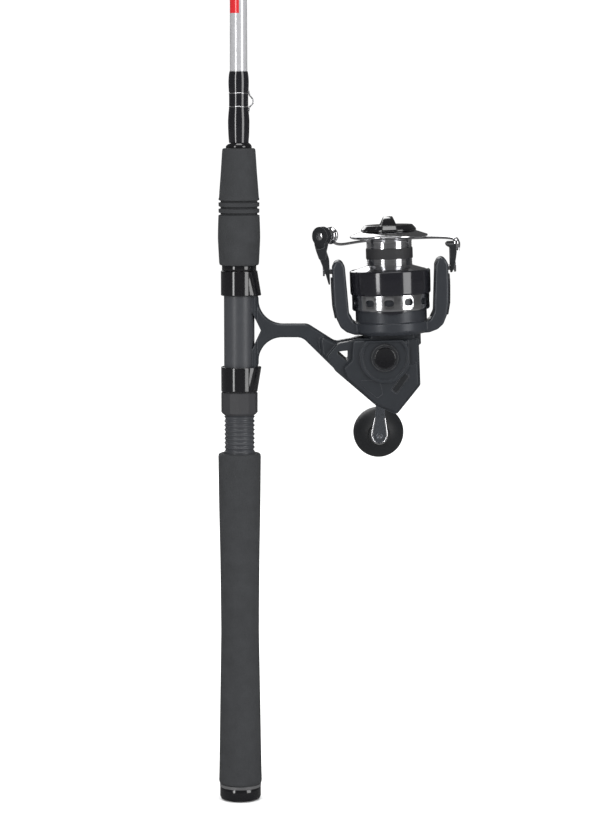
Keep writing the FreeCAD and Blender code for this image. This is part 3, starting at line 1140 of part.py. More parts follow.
def make_knob(x, z):
    """Ball knob on a bushing that turns on the axle."""
    neck_y = END_FACE_Y + ARM_THICKNESS + KNOB_GAP
    ball_y = neck_y + KNOB_NECK_LENGTH + BALL_RADIUS
    cavity_end = ball_y + BALL_RADIUS * 0.5
    axle = y_cylinder(AXLE_RADIUS, END_FACE_Y - 0.6, cavity_end - 2.6, x, z)
    head = y_cylinder(BUSHING_RADIUS - 0.4, cavity_end - 2.6, cavity_end - 0.8, x, z)
    keep("knob_axle", on_rod(axle.fuse(head).removeSplitter()))
    ball = Part.makeSphere(BALL_RADIUS, Vector(x, ball_y, z))
    knob = ball.fuse(y_cylinder(KNOB_NECK_RADIUS, neck_y, ball_y, x, z)).removeSplitter()
    keep("handle_knob", on_rod(knob.cut(y_cylinder(BUSHING_RADIUS, neck_y - 1, cavity_end, x, z))))
    bushing = y_cylinder(BUSHING_RADIUS, neck_y, cavity_end - 2.6 - FREE_GAP, x, z)
    keep("knob_bushing", on_rod(bushing.cut(y_cylinder(AXLE_RADIUS + RUNNING_FIT, neck_y - 1, cavity_end,
                                                       x, z))))


def main():
    make_blank()
    make_butt()
    make_rear_grip()
    make_seat()
    make_hoods()
    make_fore_grip()
    make_front_trim()
    make_guides()
    make_tip_top()
    make_body()
    make_cover()
    make_bearings()
    make_drive_gear()
    make_oscillation()
    make_pinion()
    make_rotor()
    make_arm_covers()
    make_bail_spring()
    make_bail()
    make_shaft()
    make_spool()
    make_drag_knob()
    make_handle()
    os.makedirs("parts", exist_ok=True)
    for name, shape in NODES.items():
        shape.exportStep(f"parts/{name}.step")
        state = "ok" if shape.isValid() else "INVALID"
        print(f"{name:20s} {state} solids {len(shape.Solids)} volume {shape.Volume:.1f} mm3")
    print(len(NODES), "nodes")


main()
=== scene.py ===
import bmesh
import bpy
import math
from mathutils import Matrix, Vector


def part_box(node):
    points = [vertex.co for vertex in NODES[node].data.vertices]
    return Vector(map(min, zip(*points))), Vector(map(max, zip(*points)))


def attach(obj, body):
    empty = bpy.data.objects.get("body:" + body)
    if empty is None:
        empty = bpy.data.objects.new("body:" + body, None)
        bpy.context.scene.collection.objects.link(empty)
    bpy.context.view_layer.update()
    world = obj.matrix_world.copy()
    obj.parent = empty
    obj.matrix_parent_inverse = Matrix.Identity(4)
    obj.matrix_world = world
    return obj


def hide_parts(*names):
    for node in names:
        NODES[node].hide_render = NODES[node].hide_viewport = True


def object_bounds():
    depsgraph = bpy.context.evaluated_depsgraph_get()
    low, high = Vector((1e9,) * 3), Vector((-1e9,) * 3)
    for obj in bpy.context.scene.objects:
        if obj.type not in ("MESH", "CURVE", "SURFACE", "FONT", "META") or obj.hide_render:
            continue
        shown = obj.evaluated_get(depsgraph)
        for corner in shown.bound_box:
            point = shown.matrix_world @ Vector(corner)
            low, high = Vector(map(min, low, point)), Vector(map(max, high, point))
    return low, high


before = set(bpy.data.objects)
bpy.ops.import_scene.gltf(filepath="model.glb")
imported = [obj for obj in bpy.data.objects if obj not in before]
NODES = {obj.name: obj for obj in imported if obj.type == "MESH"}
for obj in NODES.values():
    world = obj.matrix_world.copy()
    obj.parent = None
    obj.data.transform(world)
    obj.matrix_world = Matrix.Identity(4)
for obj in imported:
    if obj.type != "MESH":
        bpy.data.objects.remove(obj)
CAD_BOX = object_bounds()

# Pieces are drawn in millimetres: the rod's in the object's own axes, the reel's in axes where z is the
# main shaft and x points away from the rod.
MM = 0.001
ROD = Matrix.Identity(4)
REEL = Matrix.Translation((0.1115, 0.0, 0.331)) @ Matrix.Rotation(math.radians(-2.0), 4, "Y")
PAINT = {}

# rod
GRIP_LOW = 11.5
GRIP_HIGH = 257.5
FORE_LOW = 395.0
FORE_HIGH = 479.5
GROOVE_EDGES = (431.5, 436.0, 440.5)
BORE = 8.2
TRIM_BORE = 7.6
SEAT_RADIUS = 11.1
THREAD_START = 259.0
THREAD_END = 311.5
THREAD_PITCH = 3.2
WRAP_LINES = (508.9, 518.6)
BLANK_KINK = 540.0
BLANK_TOP = 2130.0
BLANK_RADII = (7.5, 6.3, 1.1)
PAINT_LIFT = 0.03

# reel
COVER_FACE = -17.3
CRANK_X = -6.0
CRANK_Z = -1.8
CAP_KNURLS = 48
WELL = 16.9
DRUM = 25.9
CAVITY = 14.2
LIP = 28.2
PORTS = 12
PORT_TURN = -4.3
ARBOR = 16.5
DRAG_DOME = 24.0
ROLLER_AT = (-48.8, -8.0, 87.0)
ROLLER_WAY = (0.62, 0.785, 0.0)
SCREW_AT = (-50.35, -9.96, 87.0)
SCREW_WAY = (-0.62, -0.785, 0.0)

# crank handle
CRANK_ANGLE = 3.6
ARM_LENGTH = 66.5
ARM_END = 6.2
ARM_HALF = 3.5
HUB_FACE = 34.0
END_FACE = 58.0
BALL = 19.2
BALL_AT = 25.2

# studio
FLOOR_HALF_SIZE = 9.0
FLOOR_GAP = 0.0005
FLOOR_REFLECTION = 0.10
SKY_LIGHT = 1.06
SKY_REFLECTION = 0.07


# ------------------------------------------------------------------ materials

def surface(name, color, metallic=0.0, rough=0.5, spread=0.08, scale=500.0, bump=0.1, depth=0.00005,
            stretch=(1, 1, 1), coat=0.0, edge_wear_and_sheen=0.0, edge_wear_and_sheen_color=(0.5, 0.5, 0.52), tint=0.12):
    """Procedural finish: uneven roughness, fine relief, a little change of tone, and edges painted lighter,
    partly as rubbed wear and bright machined edges, partly as a painted highlight along the edges.
    """
    material = bpy.data.materials.new(name)
    material.use_nodes = True
    tree = material.node_tree
    nodes = tree.nodes
    link = tree.links.new
    shader = nodes["Principled BSDF"]
    place = nodes.new("ShaderNodeTexCoord")
    mapping = nodes.new("ShaderNodeMapping")
    mapping.inputs["Scale"].default_value = stretch
    link(place.outputs["Object"], mapping.inputs["Vector"])
    fine = nodes.new("ShaderNodeTexNoise")
    fine.inputs["Scale"].default_value = scale
    fine.inputs["Detail"].default_value = 4.0
    broad = nodes.new("ShaderNodeTexNoise")
    broad.inputs["Scale"].default_value = scale * 0.08
    broad.inputs["Detail"].default_value = 2.0
    link(mapping.outputs["Vector"], fine.inputs["Vector"])
    link(mapping.outputs["Vector"], broad.inputs["Vector"])
    tone = nodes.new("ShaderNodeMix")
    tone.data_type = "RGBA"
    low = [channel * (1 - tint) for channel in color]
    high = [min(1.0, channel * (1 + tint)) for channel in color]
    tone.inputs[6].default_value = (*low, 1)
    tone.inputs[7].default_value = (*high, 1)
    link(broad.outputs["Fac"], tone.inputs[0])
    gloss = nodes.new("ShaderNodeMapRange")
    gloss.inputs["From Min"].default_value = 0.3
    gloss.inputs["From Max"].default_value = 0.7
    gloss.inputs["To Min"].default_value = max(0.02, rough - spread)
    gloss.inputs["To Max"].default_value = min(1.0, rough + spread)
    link(fine.outputs["Fac"], gloss.inputs["Value"])
    colour = tone.outputs[2]
    # Edges are painted lighter here: partly rubbed wear and bright machined edges, partly a painted highlight
    # along every sharp edge, broken up by the broad noise.
    if edge_wear_and_sheen > 0:
        edge = nodes.new("ShaderNodeBevel")
        edge.samples = 4
        edge.inputs["Radius"].default_value = 0.0005
        flat = nodes.new("ShaderNodeNewGeometry")
        match = nodes.new("ShaderNodeVectorMath")
        match.operation = "DOT_PRODUCT"
        link(edge.outputs["Normal"], match.inputs[0])
        link(flat.outputs["Normal"], match.inputs[1])
        edge_wear_and_sheen_mask = nodes.new("ShaderNodeMapRange")
        edge_wear_and_sheen_mask.inputs["From Min"].default_value = 0.995
        edge_wear_and_sheen_mask.inputs["From Max"].default_value = 0.93
        edge_wear_and_sheen_mask.inputs["To Max"].default_value = edge_wear_and_sheen
        link(match.outputs["Value"], edge_wear_and_sheen_mask.inputs["Value"])
        patchy = nodes.new("ShaderNodeMath")
        patchy.operation = "MULTIPLY"
        link(edge_wear_and_sheen_mask.outputs["Result"], patchy.inputs[0])
        link(broad.outputs["Fac"], patchy.inputs[1])
        edge_wear_and_sheen_mix = nodes.new("ShaderNodeMix")
        edge_wear_and_sheen_mix.data_type = "RGBA"
        edge_wear_and_sheen_mix.inputs[7].default_value = (*edge_wear_and_sheen_color, 1)
        link(patchy.outputs["Value"], edge_wear_and_sheen_mix.inputs[0])
        link(colour, edge_wear_and_sheen_mix.inputs[6])
        colour = edge_wear_and_sheen_mix.outputs[2]
    link(colour, shader.inputs["Base Color"])
    link(gloss.outputs["Result"], shader.inputs["Roughness"])
    shader.inputs["Metallic"].default_value = metallic
    shader.inputs["Coat Weight"].default_value = coat
    shader.inputs["Coat Roughness"].default_value = 0.04
    relief = nodes.new("ShaderNodeBump")
    relief.inputs["Strength"].default_value = bump
    relief.inputs["Distance"].default_value = depth
    link(fine.outputs["Fac"], relief.inputs["Height"])
    link(relief.outputs["Normal"], shader.inputs["Normal"])
    PAINT[name] = material


def foam_pores(material, scale, depth):
    """Adds the open pores of cut foam to a finish."""
    tree = material.node_tree
    nodes = tree.nodes
    relief = next(node for node in nodes if node.type == "BUMP")
    place = next(node for node in nodes if node.type == "TEX_COORD")
    cells = nodes.new("ShaderNodeTexVoronoi")
    cells.inputs["Scale"].default_value = scale
    tree.links.new(place.outputs["Object"], cells.inputs["Vector"])
    pits = nodes.new("ShaderNodeBump")
    pits.inputs["Strength"].default_value = 0.5
    pits.inputs["Distance"].default_value = depth
    tree.links.new(cells.outputs["Distance"], pits.inputs["Height"])
    tree.links.new(relief.outputs["Normal"], pits.inputs["Normal"])
    shader = nodes["Principled BSDF"]
    tree.links.new(pits.outputs["Normal"], shader.inputs["Normal"])


surface("grip_foam", (0.024, 0.0255, 0.028), rough=0.86, spread=0.08, scale=1500, bump=0.5, depth=0.0002,
        tint=0.2)
foam_pores(PAINT["grip_foam"], 1600.0, 0.00025)
surface("gloss_black", (0.006, 0.006, 0.007), rough=0.12, spread=0.04, scale=300, bump=0.03, coat=0.6)
surface("seat_plastic", (0.036, 0.038, 0.043), rough=0.38, scale=1200, bump=0.15)
surface("nut_plastic", (0.028, 0.028, 0.031), rough=0.55, scale=1200, bump=0.2)
surface("silver_trim", (0.78, 0.78, 0.80), metallic=1.0, rough=0.18, scale=900, stretch=(1, 1, 6), bump=0.05)
surface("blank_paint", (0.46, 0.46, 0.475), metallic=0.35, rough=0.22, spread=0.05, scale=2500, bump=0.03,
        coat=0.8)
surface("wrap_resin", (0.008, 0.008, 0.010), rough=0.10, spread=0.03, scale=700, bump=0.06, coat=0.8)
surface("guide_steel", (0.35, 0.35, 0.37), metallic=1.0, rough=0.24, scale=900, bump=0.06)
surface("ring_ceramic", (0.05, 0.05, 0.055), rough=0.12, scale=1000, bump=0.03)
surface("keeper_steel", (0.60, 0.60, 0.62), metallic=1.0, rough=0.15, scale=900, bump=0.04)
surface("body_paint", (0.024, 0.027, 0.032), metallic=0.2, rough=0.36, spread=0.06, scale=1400, bump=0.12,
        edge_wear_and_sheen=0.35, edge_wear_and_sheen_color=(0.25, 0.26, 0.28))
surface("panel_paint", (0.021, 0.024, 0.029), metallic=0.2, rough=0.42, spread=0.05, scale=1400, bump=0.15,
        edge_wear_and_sheen=0.3, edge_wear_and_sheen_color=(0.2, 0.21, 0.23))
surface("cap_plastic", (0.012, 0.013, 0.015), rough=0.34, scale=900, bump=0.08, edge_wear_and_sheen=0.3)
surface("rotor_graphite", (0.028, 0.031, 0.037), metallic=0.25, rough=0.34, spread=0.06, scale=1400,
        bump=0.10, edge_wear_and_sheen=0.5, edge_wear_and_sheen_color=(0.28, 0.29, 0.31))
surface("gear_metal", (0.65, 0.48, 0.22), metallic=1.0, rough=0.3, scale=800, bump=0.08)
surface("steel", (0.55, 0.55, 0.57), metallic=1.0, rough=0.28, scale=800, bump=0.06)
surface("chrome_wire", (0.84, 0.84, 0.86), metallic=1.0, rough=0.11, spread=0.03, scale=300, bump=0.008)
surface("spool_alloy", (0.012, 0.012, 0.015), metallic=0.2, rough=0.13, spread=0.03, scale=600, bump=0.02,
        coat=0.7)
surface("spool_silver", (0.80, 0.80, 0.82), metallic=1.0, rough=0.14, spread=0.04, scale=600, bump=0.03)
surface("band_rubber", (0.02, 0.02, 0.022), rough=0.62, scale=1300, bump=0.25)
surface("washer_felt", (0.2, 0.2, 0.2), rough=0.9, scale=1500, bump=0.4)
surface("handle_alloy", (0.15, 0.16, 0.18), metallic=0.85, rough=0.30, spread=0.06, scale=900, bump=0.06,
        edge_wear_and_sheen=0.9, edge_wear_and_sheen_color=(0.62, 0.64, 0.68))
surface("knob_rubber", (0.009, 0.010, 0.012), rough=0.52, spread=0.06, scale=1300, bump=0.2)
surface("nylon", (0.6, 0.6, 0.58), rough=0.5, scale=900, bump=0.1)
surface("plain_red", (0.50, 0.015, 0.02), rough=0.2, spread=0.04, scale=800, bump=0.03, coat=0.8)


# ------------------------------------------------------------------ mesh helpers

def fillet(points, radius, closed=True, steps=6):
    """Polygon with its corners rounded; a point may carry a radius of its own as a third number."""
    out = []
    count = len(points)
    for i in range(count):
        here = Vector(points[i][:2])
        size = points[i][2] if len(points[i]) == 3 else radius
        if size <= 0 or (not closed and i in (0, count - 1)):
            out.append(here)
            continue
        back = Vector(points[i - 1][:2]) - here
        ahead = Vector(points[(i + 1) % count][:2]) - here
        angle = back.angle(ahead)
        if angle > math.radians(178):
            out.append(here)
            continue
        half = angle / 2
        reach = min(size / math.tan(half), 0.48 * back.length, 0.48 * ahead.length)
        true = reach * math.tan(half)
        back.normalize()
        ahead.normalize()
        centre = here + (back + ahead).normalized() * (true / math.sin(half))
        start = here + back * reach - centre
        end = here + ahead * reach - centre
        sweep = start.angle_signed(end)
        for step in range(steps + 1):
            turn = -sweep * step / steps
            c = math.cos(turn)
            s = math.sin(turn)
            out.append(centre + Vector((start.x * c - start.y * s, start.x * s + start.y * c)))
    return [(p.x, p.y) for p in out]


def new_piece(name, mesh):
    """Object in the scene with a mesh of its own."""
    piece = bpy.data.objects.new(name, mesh)
    bpy.context.scene.collection.objects.link(piece)
    return piece


def turned(name, profile, place, corner=0.0, steps=144, closed=True):
    """Piece turned about its z axis from (radius, z) points in millimetres."""
    points = fillet(profile, corner, closed) if corner > 0 or any(len(p) == 3 for p in profile) else profile
    mesh = bpy.data.meshes.new(name)
    work = bmesh.new()
    rings = []
    for radius, z in points:
        if radius < 1e-6:
            rings.append([work.verts.new((0, 0, z * MM))])
            continue
        ring = []
        for step in range(steps):
            angle = 2 * math.pi * step / steps
            ring.append(work.verts.new((radius * MM * math.cos(angle), radius * MM * math.sin(angle),
                                        z * MM)))
        rings.append(ring)
    pairs = list(zip(rings, rings[1:]))
    if closed:
        pairs.append((rings[-1], rings[0]))
    for low, high in pairs:
        if len(low) == 1 and len(high) == 1:
            continue
        for step in range(steps):
            after = (step + 1) % steps
            corners = [low[step % len(low)], low[after % len(low)], high[after % len(high)],
                       high[step % len(high)]]
            unique = []
            for vert in corners:
                if vert not in unique:
                    unique.append(vert)
            work.faces.new(unique)
    bmesh.ops.recalc_face_normals(work, faces=work.faces[:])
    work.to_mesh(mesh)
    work.free()
    mesh.transform(place)
    return new_piece(name, mesh)


def slab(name, outline, y0, y1, place, corner=0.0, steps=6):
    """Flat piece from (x, z) points, between two y values, in millimetres."""
    points = fillet(outline, corner, True, steps)
    mesh = bpy.data.meshes.new(name)
    work = bmesh.new()
    near = [work.verts.new((x * MM, y0 * MM, z * MM)) for x, z in points]
    far = [work.verts.new((x * MM, y1 * MM, z * MM)) for x, z in points]
    work.faces.new(near)
    work.faces.new(far)
    for i in range(len(points)):
        j = (i + 1) % len(points)
        work.faces.new((near[i], near[j], far[j], far[i]))
    bmesh.ops.recalc_face_normals(work, faces=work.faces[:])
    work.to_mesh(mesh)
    work.free()
    mesh.transform(place)
    return new_piece(name, mesh)


def settle(piece):
    """Keeps the shape that a piece's modifiers give it."""
    bpy.context.view_layer.update()
    shape = piece.evaluated_get(bpy.context.evaluated_depsgraph_get())
    mesh = bpy.data.meshes.new_from_object(shape)
    piece.modifiers.clear()
    piece.data = mesh
    return piece


def rounded(piece, width, segments=3, angle=35.0):
    """Rounds a piece's sharp edges."""
    bevel = piece.modifiers.new("edges", "BEVEL")
    bevel.width = width * MM
    bevel.segments = segments
    bevel.limit_method = "ANGLE"
    bevel.angle_limit = math.radians(angle)
    return settle(piece)


def cut_by(piece, operation, cutters):
    for cutter in cutters:
        cut = piece.modifiers.new("cut", "BOOLEAN")
        cut.operation = operation
        cut.solver = "EXACT"
        cut.object = cutter
    settle(piece)
    for cutter in cutters:
        bpy.data.objects.remove(cutter)
    return piece


def carved(piece, *cutters):
    """What a piece keeps outside the cutters."""
    return cut_by(piece, "DIFFERENCE", cutters)


def kept_inside(piece, form):
    """What a piece keeps inside a form."""
    return cut_by(piece, "INTERSECT", [form])


def joined(name, *pieces):
    """One mesh from several closed ones."""
    work = bmesh.new()
    for piece in pieces:
        work.from_mesh(piece.data)
    mesh = bpy.data.meshes.new(name)
    work.to_mesh(mesh)
    work.free()
    for piece in pieces:
        bpy.data.objects.remove(piece)
    return new_piece(name, mesh)


def cast(piece, voxel, rounds):
    """Melts a piece into one skin with soft edges, as a casting has."""
    skin = piece.modifiers.new("skin", "REMESH")
    skin.mode = "VOXEL"
    skin.voxel_size = voxel * MM
    soften = piece.modifiers.new("soften", "SMOOTH")
    soften.factor = 0.5
    soften.iterations = rounds
    return settle(piece)


def copy_of(node, name):
    """A piece with the CAD node's own mesh, to be finished further."""
    return new_piece(name, NODES[node].data.copy())


def show(piece, body, paint, nodes=(), angle=None):
    """Gives a piece its finish, its shading and its body."""
    piece.data.materials.clear()
    piece.data.materials.append(PAINT[paint])
    piece.data.shade_smooth()
    if angle is not None:
        piece.data.set_sharp_from_angle(angle=math.radians(angle))
    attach(piece, body)
    if nodes:
        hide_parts(*nodes)
    return piece


def smooth_line(points, per_run=8):
    """Smooth curve through points, as a list of points."""
    out = []
    last = len(points) - 1
    for i in range(last):
        before = points[max(i - 1, 0)]
        start = points[i]
        end = points[i + 1]
        after = points[min(i + 2, last)]
        for step in range(per_run):
            t = step / per_run
            out.append(tuple(
                0.5 * (2 * b + (c - a) * t + (2 * a - 5 * b + 4 * c - d) * t * t
                       + (3 * b - a - 3 * c + d) * t ** 3)
                for a, b, c, d in zip(before, start, end, after)))
    out.append(tuple(points[last]))
    return out


def wire(name, points, radius, place):
    """Round wire along a smooth line, in millimetres."""
    curve = bpy.data.curves.new(name, "CURVE")
    curve.dimensions = "3D"
    curve.bevel_depth = radius * MM
    curve.bevel_resolution = 6
    curve.resolution_u = 16
    curve.use_fill_caps = True
    spline = curve.splines.new("NURBS")
    spline.points.add(len(points) - 1)
    for control, point in zip(spline.points, points):
        control.co = (*(place @ (Vector(point) * MM)), 1)
    spline.order_u = 4
    spline.use_endpoint_u = True
    source = bpy.data.objects.new(name, curve)
    bpy.context.scene.collection.objects.link(source)
    bpy.context.view_layer.update()
    mesh = bpy.data.meshes.new_from_object(source.evaluated_get(bpy.context.evaluated_depsgraph_get()))
    bpy.data.objects.remove(source)
    return new_piece(name, mesh)


def along(origin, direction):
    """Place whose z axis runs from a reel point along a reel direction."""
    turn = Vector((0, 0, 1)).rotation_difference(Vector(direction).normalized()).to_matrix().to_4x4()
    return REEL @ Matrix.Translation(Vector(origin) * MM) @ turn


# ------------------------------------------------------------------ CAD nodes that keep their shape

for piece in NODES.values():
    slot_name = piece.data.materials[0].name.split(".")[0]
    piece.data.materials.clear()
    piece.data.materials.append(PAINT[slot_name])


# ------------------------------------------------------------------ rod

rear = smooth_line([(15.85, 13.7), (15.5, 28.5), (14.8, 73.5), (14.05, 118.5), (14.0, 134.5), (14.4, 178.5),
                    (15.1, 216.5), (15.6, 255.3)], 10)
rear_profile = [(BORE, GRIP_LOW), (14.6, GRIP_LOW), (15.5, GRIP_LOW + 0.6)] + rear
rear_profile += [(15.3, GRIP_HIGH - 0.6), (14.3, GRIP_HIGH), (11.2, GRIP_HIGH), (11.2, 251.9), (BORE, 251.9)]
rear_grip = turned("eva_rear_grip", rear_profile, ROD)
show(rear_grip, "rod", "grip_foam", ["rear_grip"], 50)

fore = smooth_line([(14.5, 397.2), (15.25, 412.0), (15.3, 419.0), (15.05, 428.0), (14.9, 431.0)], 6)
for low_edge in GROOVE_EDGES:
    fore += [(14.85, low_edge - 0.25), (13.6, low_edge + 0.05), (13.2, low_edge + 0.65),
             (13.6, low_edge + 1.25), (14.7, low_edge + 1.55), (14.8, low_edge + 2.6)]
fore += smooth_line([(14.45, 444.0), (13.9, 452.0), (13.2, 461.0), (12.6, 470.0), (12.1, 477.4)], 6)
fore_profile = [(11.2, FORE_LOW), (13.4, FORE_LOW), (14.2, FORE_LOW + 0.5)] + fore
fore_profile += [(11.8, FORE_HIGH - 0.5), (10.8, FORE_HIGH), (7.2, FORE_HIGH), (7.2, 397.1), (11.2, 397.1)]
fore_grip = turned("eva_fore_grip", fore_profile, ROD)
show(fore_grip, "rod", "grip_foam", ["fore_grip"], 50)

show(turned("butt_end_cap", [(0, 0), (12.9, 0), (14.5, 0.6), (15.1, 2.2), (15.1, 8.4), (14.8, 9.0),
                             (7.6, 9.0), (7.6, 5.0),
                             (0, 5.0)], ROD, closed=False), "rod", "gloss_black",
     ["butt_cap"], 40)
show(turned("butt_ring", [(TRIM_BORE, 9.0), (15.0, 9.0), (15.2, 9.25), (15.2, 11.25), (15.0, 11.5),
                          (TRIM_BORE, 11.5)], ROD), "rod", "silver_trim", ["butt_trim_ring"],
     30)

barrel = [(8.0, 252.0), (SEAT_RADIUS, 252.0)]
thread_z = THREAD_START
while thread_z < THREAD_END:
    barrel += [(SEAT_RADIUS, thread_z + 0.15), (10.45, thread_z + 0.7), (10.3, thread_z + 1.4),
               (10.45, thread_z + 2.1), (SEAT_RADIUS, thread_z + 2.65), (SEAT_RADIUS, thread_z + 3.0)]
    thread_z += THREAD_PITCH
barrel += [(SEAT_RADIUS, 397.0), (8.0, 397.0)]
show(turned("seat_barrel", barrel, ROD, steps=128), "rod", "seat_plastic",
     ["reel_seat_barrel"], 40)

show(cast(copy_of("fixed_hood", "front_hood"), 0.3, 5), "rod", "gloss_black", ["fixed_hood"])
show(cast(copy_of("sliding_hood", "rear_hood"), 0.3, 5), "hood", "gloss_black",
     ["sliding_hood"])
show(rounded(turned("hood_collar", [(11.2, 391.0), (12.5, 391.0), (12.5, 395.0), (11.2, 395.0)], ROD), 0.5),
     "rod", "gloss_black", ["hood_trim_ring"], 40)
show(turned("grip_check", [(7.2, 479.5), (9.2, 479.5), (9.4, 479.8), (9.35, 480.9), (8.9, 481.9),
                           (8.2, 482.7), (7.3, 483.3), (6.95, 483.5), (6.7, 483.5),
                           (6.7, 479.5)], ROD), "rod",
     "gloss_black", ["winding_check"], 50)
wrap = smooth_line([(7.1, 483.5), (7.55, 490.0), (7.75, 499.0), (7.35, 505.0), (7.0, 509.0), (6.95, 513.5),
                    (7.0, 518.0), (7.25, 523.0), (7.35, 527.0), (7.1, 531.5), (6.6, 534.5)], 6)
wrap_profile = [(6.45, 483.5)] + wrap + [(6.4, 534.5)]
show(turned("handle_wrap", wrap_profile, ROD), "rod", "wrap_resin", ["keeper_wrap"], 60)
for ring_z in WRAP_LINES:
    show(turned("wrap_line", [(6.6, ring_z), (7.06, ring_z), (7.1, ring_z + 0.35), (7.06, ring_z + 0.7),
                              (6.6, ring_z + 0.7)], ROD), "rod", "silver_trim")

butt_radius, kink_radius, tip_radius = BLANK_RADII
blank_line = [(butt_radius, 5.0), (kink_radius, BLANK_KINK), (tip_radius, BLANK_TOP), (0.5, BLANK_TOP),
              (5.15, BLANK_KINK), (6.3, 5.0)]
show(turned("blank", blank_line, ROD, steps=96), "rod", "blank_paint", ["rod_blank"], 30)


def flash(name, turn_from, turn_to, low, high):
    """Plain painted flash on the blank, drawn to a point at its upper end."""
    mesh = bpy.data.meshes.new(name)
    work = bmesh.new()
    rows = 40
    columns = 12
    grid = []
    for row in range(rows + 1):
        share = row / rows
        z = low + (high - low) * share
        taper = (z - BLANK_KINK) / (BLANK_TOP - BLANK_KINK)
        radius = kink_radius - (kink_radius - tip_radius) * taper + PAINT_LIFT
        start = turn_from + (turn_to - turn_from) * max(0.0, 1.3 * share - 0.3)
        line = []
        for column in range(columns + 1):
            angle = math.radians(start + (turn_to - start) * column / columns)
            line.append(work.verts.new((radius * MM * math.cos(angle), radius * MM * math.sin(angle),
                                        z * MM)))
        grid.append(line)
    for row in range(rows):
        for column in range(columns):
            corners = [grid[row][column], grid[row][column + 1], grid[row + 1][column + 1],
                       grid[row + 1][column]]
            work.faces.new(corners)
    bmesh.ops.remove_doubles(work, verts=work.verts[:], dist=1e-7)
    work.to_mesh(mesh)
    work.free()
    return new_piece(name, mesh)


show(flash("red_flash", 170.0, 275.0, 576.0, 760.0), "rod", "plain_red")

# ------------------------------------------------------------------ reel body

show(cast(copy_of("reel_body", "body_casting"), 0.45, 4), "rod", "body_paint", ["reel_body"])
show(cast(copy_of("side_cover", "cover_plate"), 0.3, 3), "rod", "panel_paint", ["side_cover"])


def outline_ring(name, points, corner, width, place):
    """Fine raised line round a blank panel."""
    outer = slab(name, points, COVER_FACE - 0.22, COVER_FACE + 0.2, place, corner)
    middle = [sum(p[i] for p in points) / len(points) for i in (0, 1)]
    shrunk = []
    for x, z in points:
        reach = Vector((x - middle[0], z - middle[1]))
        size = reach.length
        reach = reach * ((size - width * 1.3) / size)
        shrunk.append((middle[0] + reach.x, middle[1] + reach.y))
    return carved(outer, slab("inner", shrunk, COVER_FACE - 1, COVER_FACE + 1, place,
                              max(0.2, corner - width)))


label_place = REEL @ Matrix.Translation(Vector((4.6, 0, -20.5)) * MM)
label_place = label_place @ Matrix.Rotation(math.radians(-52.0), 4, "Y")
show(outline_ring("label_frame", [(-8.5, -3.0), (8.5, -3.0), (8.5, 3.0), (-8.5, 3.0)], 1.4, 0.35,
                  label_place), "rod",
     "rotor_graphite", (), 40)
show(slab("label_plate", [(-7.7, -2.2), (7.7, -2.2), (7.7, 2.2), (-7.7, 2.2)], COVER_FACE - 0.12,
          COVER_FACE + 0.2, label_place, 1.0), "rod", "cap_plastic", (), 40)
show(outline_ring("corner_frame", [(-27.4, -17.6), (-10.2, -17.6), (-8.2, -28.2), (-12.4, -31.2)], 1.6, 0.35,
                  REEL), "rod",
     "rotor_graphite", (), 40)

crank_axis = REEL @ Matrix.Translation(Vector((CRANK_X, 0, CRANK_Z)) * MM)
crank_side = crank_axis @ Matrix.Rotation(math.radians(90), 4, "X")


def knurled(name, inner, outer, z0, z1, depth, teeth, place):
    """Ring with rounded knurls round its rim."""
    steps = teeth * 6
    mesh = bpy.data.meshes.new(name)
    work = bmesh.new()
    rings = []
    for radius, z, cut in ((inner, z0, 0), (outer - 0.3, z0, 1), (outer, z0 + 0.3, 1), (outer, z1 - 0.5, 1),
                           (outer - 0.5, z1, 1), (inner, z1, 0)):
        ring = []
        for step in range(steps):
            angle = 2 * math.pi * step / steps
            wave = depth * cut * (0.5 - 0.5 * math.cos(angle * teeth)) ** 2
            size = (radius - wave) * MM
            ring.append(work.verts.new((size * math.cos(angle), size * math.sin(angle), z * MM)))
        rings.append(ring)
    for i in range(len(rings)):
        low = rings[i]
        high = rings[(i + 1) % len(rings)]
        for step in range(steps):
            after = (step + 1) % steps
            work.faces.new((low[step], low[after], high[after], high[step]))
    bmesh.ops.recalc_face_normals(work, faces=work.faces[:])
    work.to_mesh(mesh)
    work.free()
    mesh.transform(place)
    return new_piece(name, mesh)


show(knurled("cap_knurl", 7.9, 10.2, WELL, WELL + 2.6, 0.5, CAP_KNURLS, crank_side), "rod", "cap_plastic",
     ["crank_cap"], 40)
show(turned("cap_disc", [(0, WELL), (7.9, WELL), (7.9, WELL + 2.9), (7.5, WELL + 3.4), (6.9, WELL + 3.6),
                         (6.5, WELL + 3.45), (5.4, WELL + 3.3), (0, WELL + 3.3)], crank_side, closed=False),
     "rod", "gloss_black", (), 50)
show(turned("well_ring_inner", [(10.6, WELL - 0.3), (10.6, WELL + 0.45), (11.0, WELL + 0.6),
                                (11.3, WELL + 0.45),
                                (11.3, WELL - 0.3)], crank_side), "rod", "spool_silver", (),
     40)

# ------------------------------------------------------------------ rotor

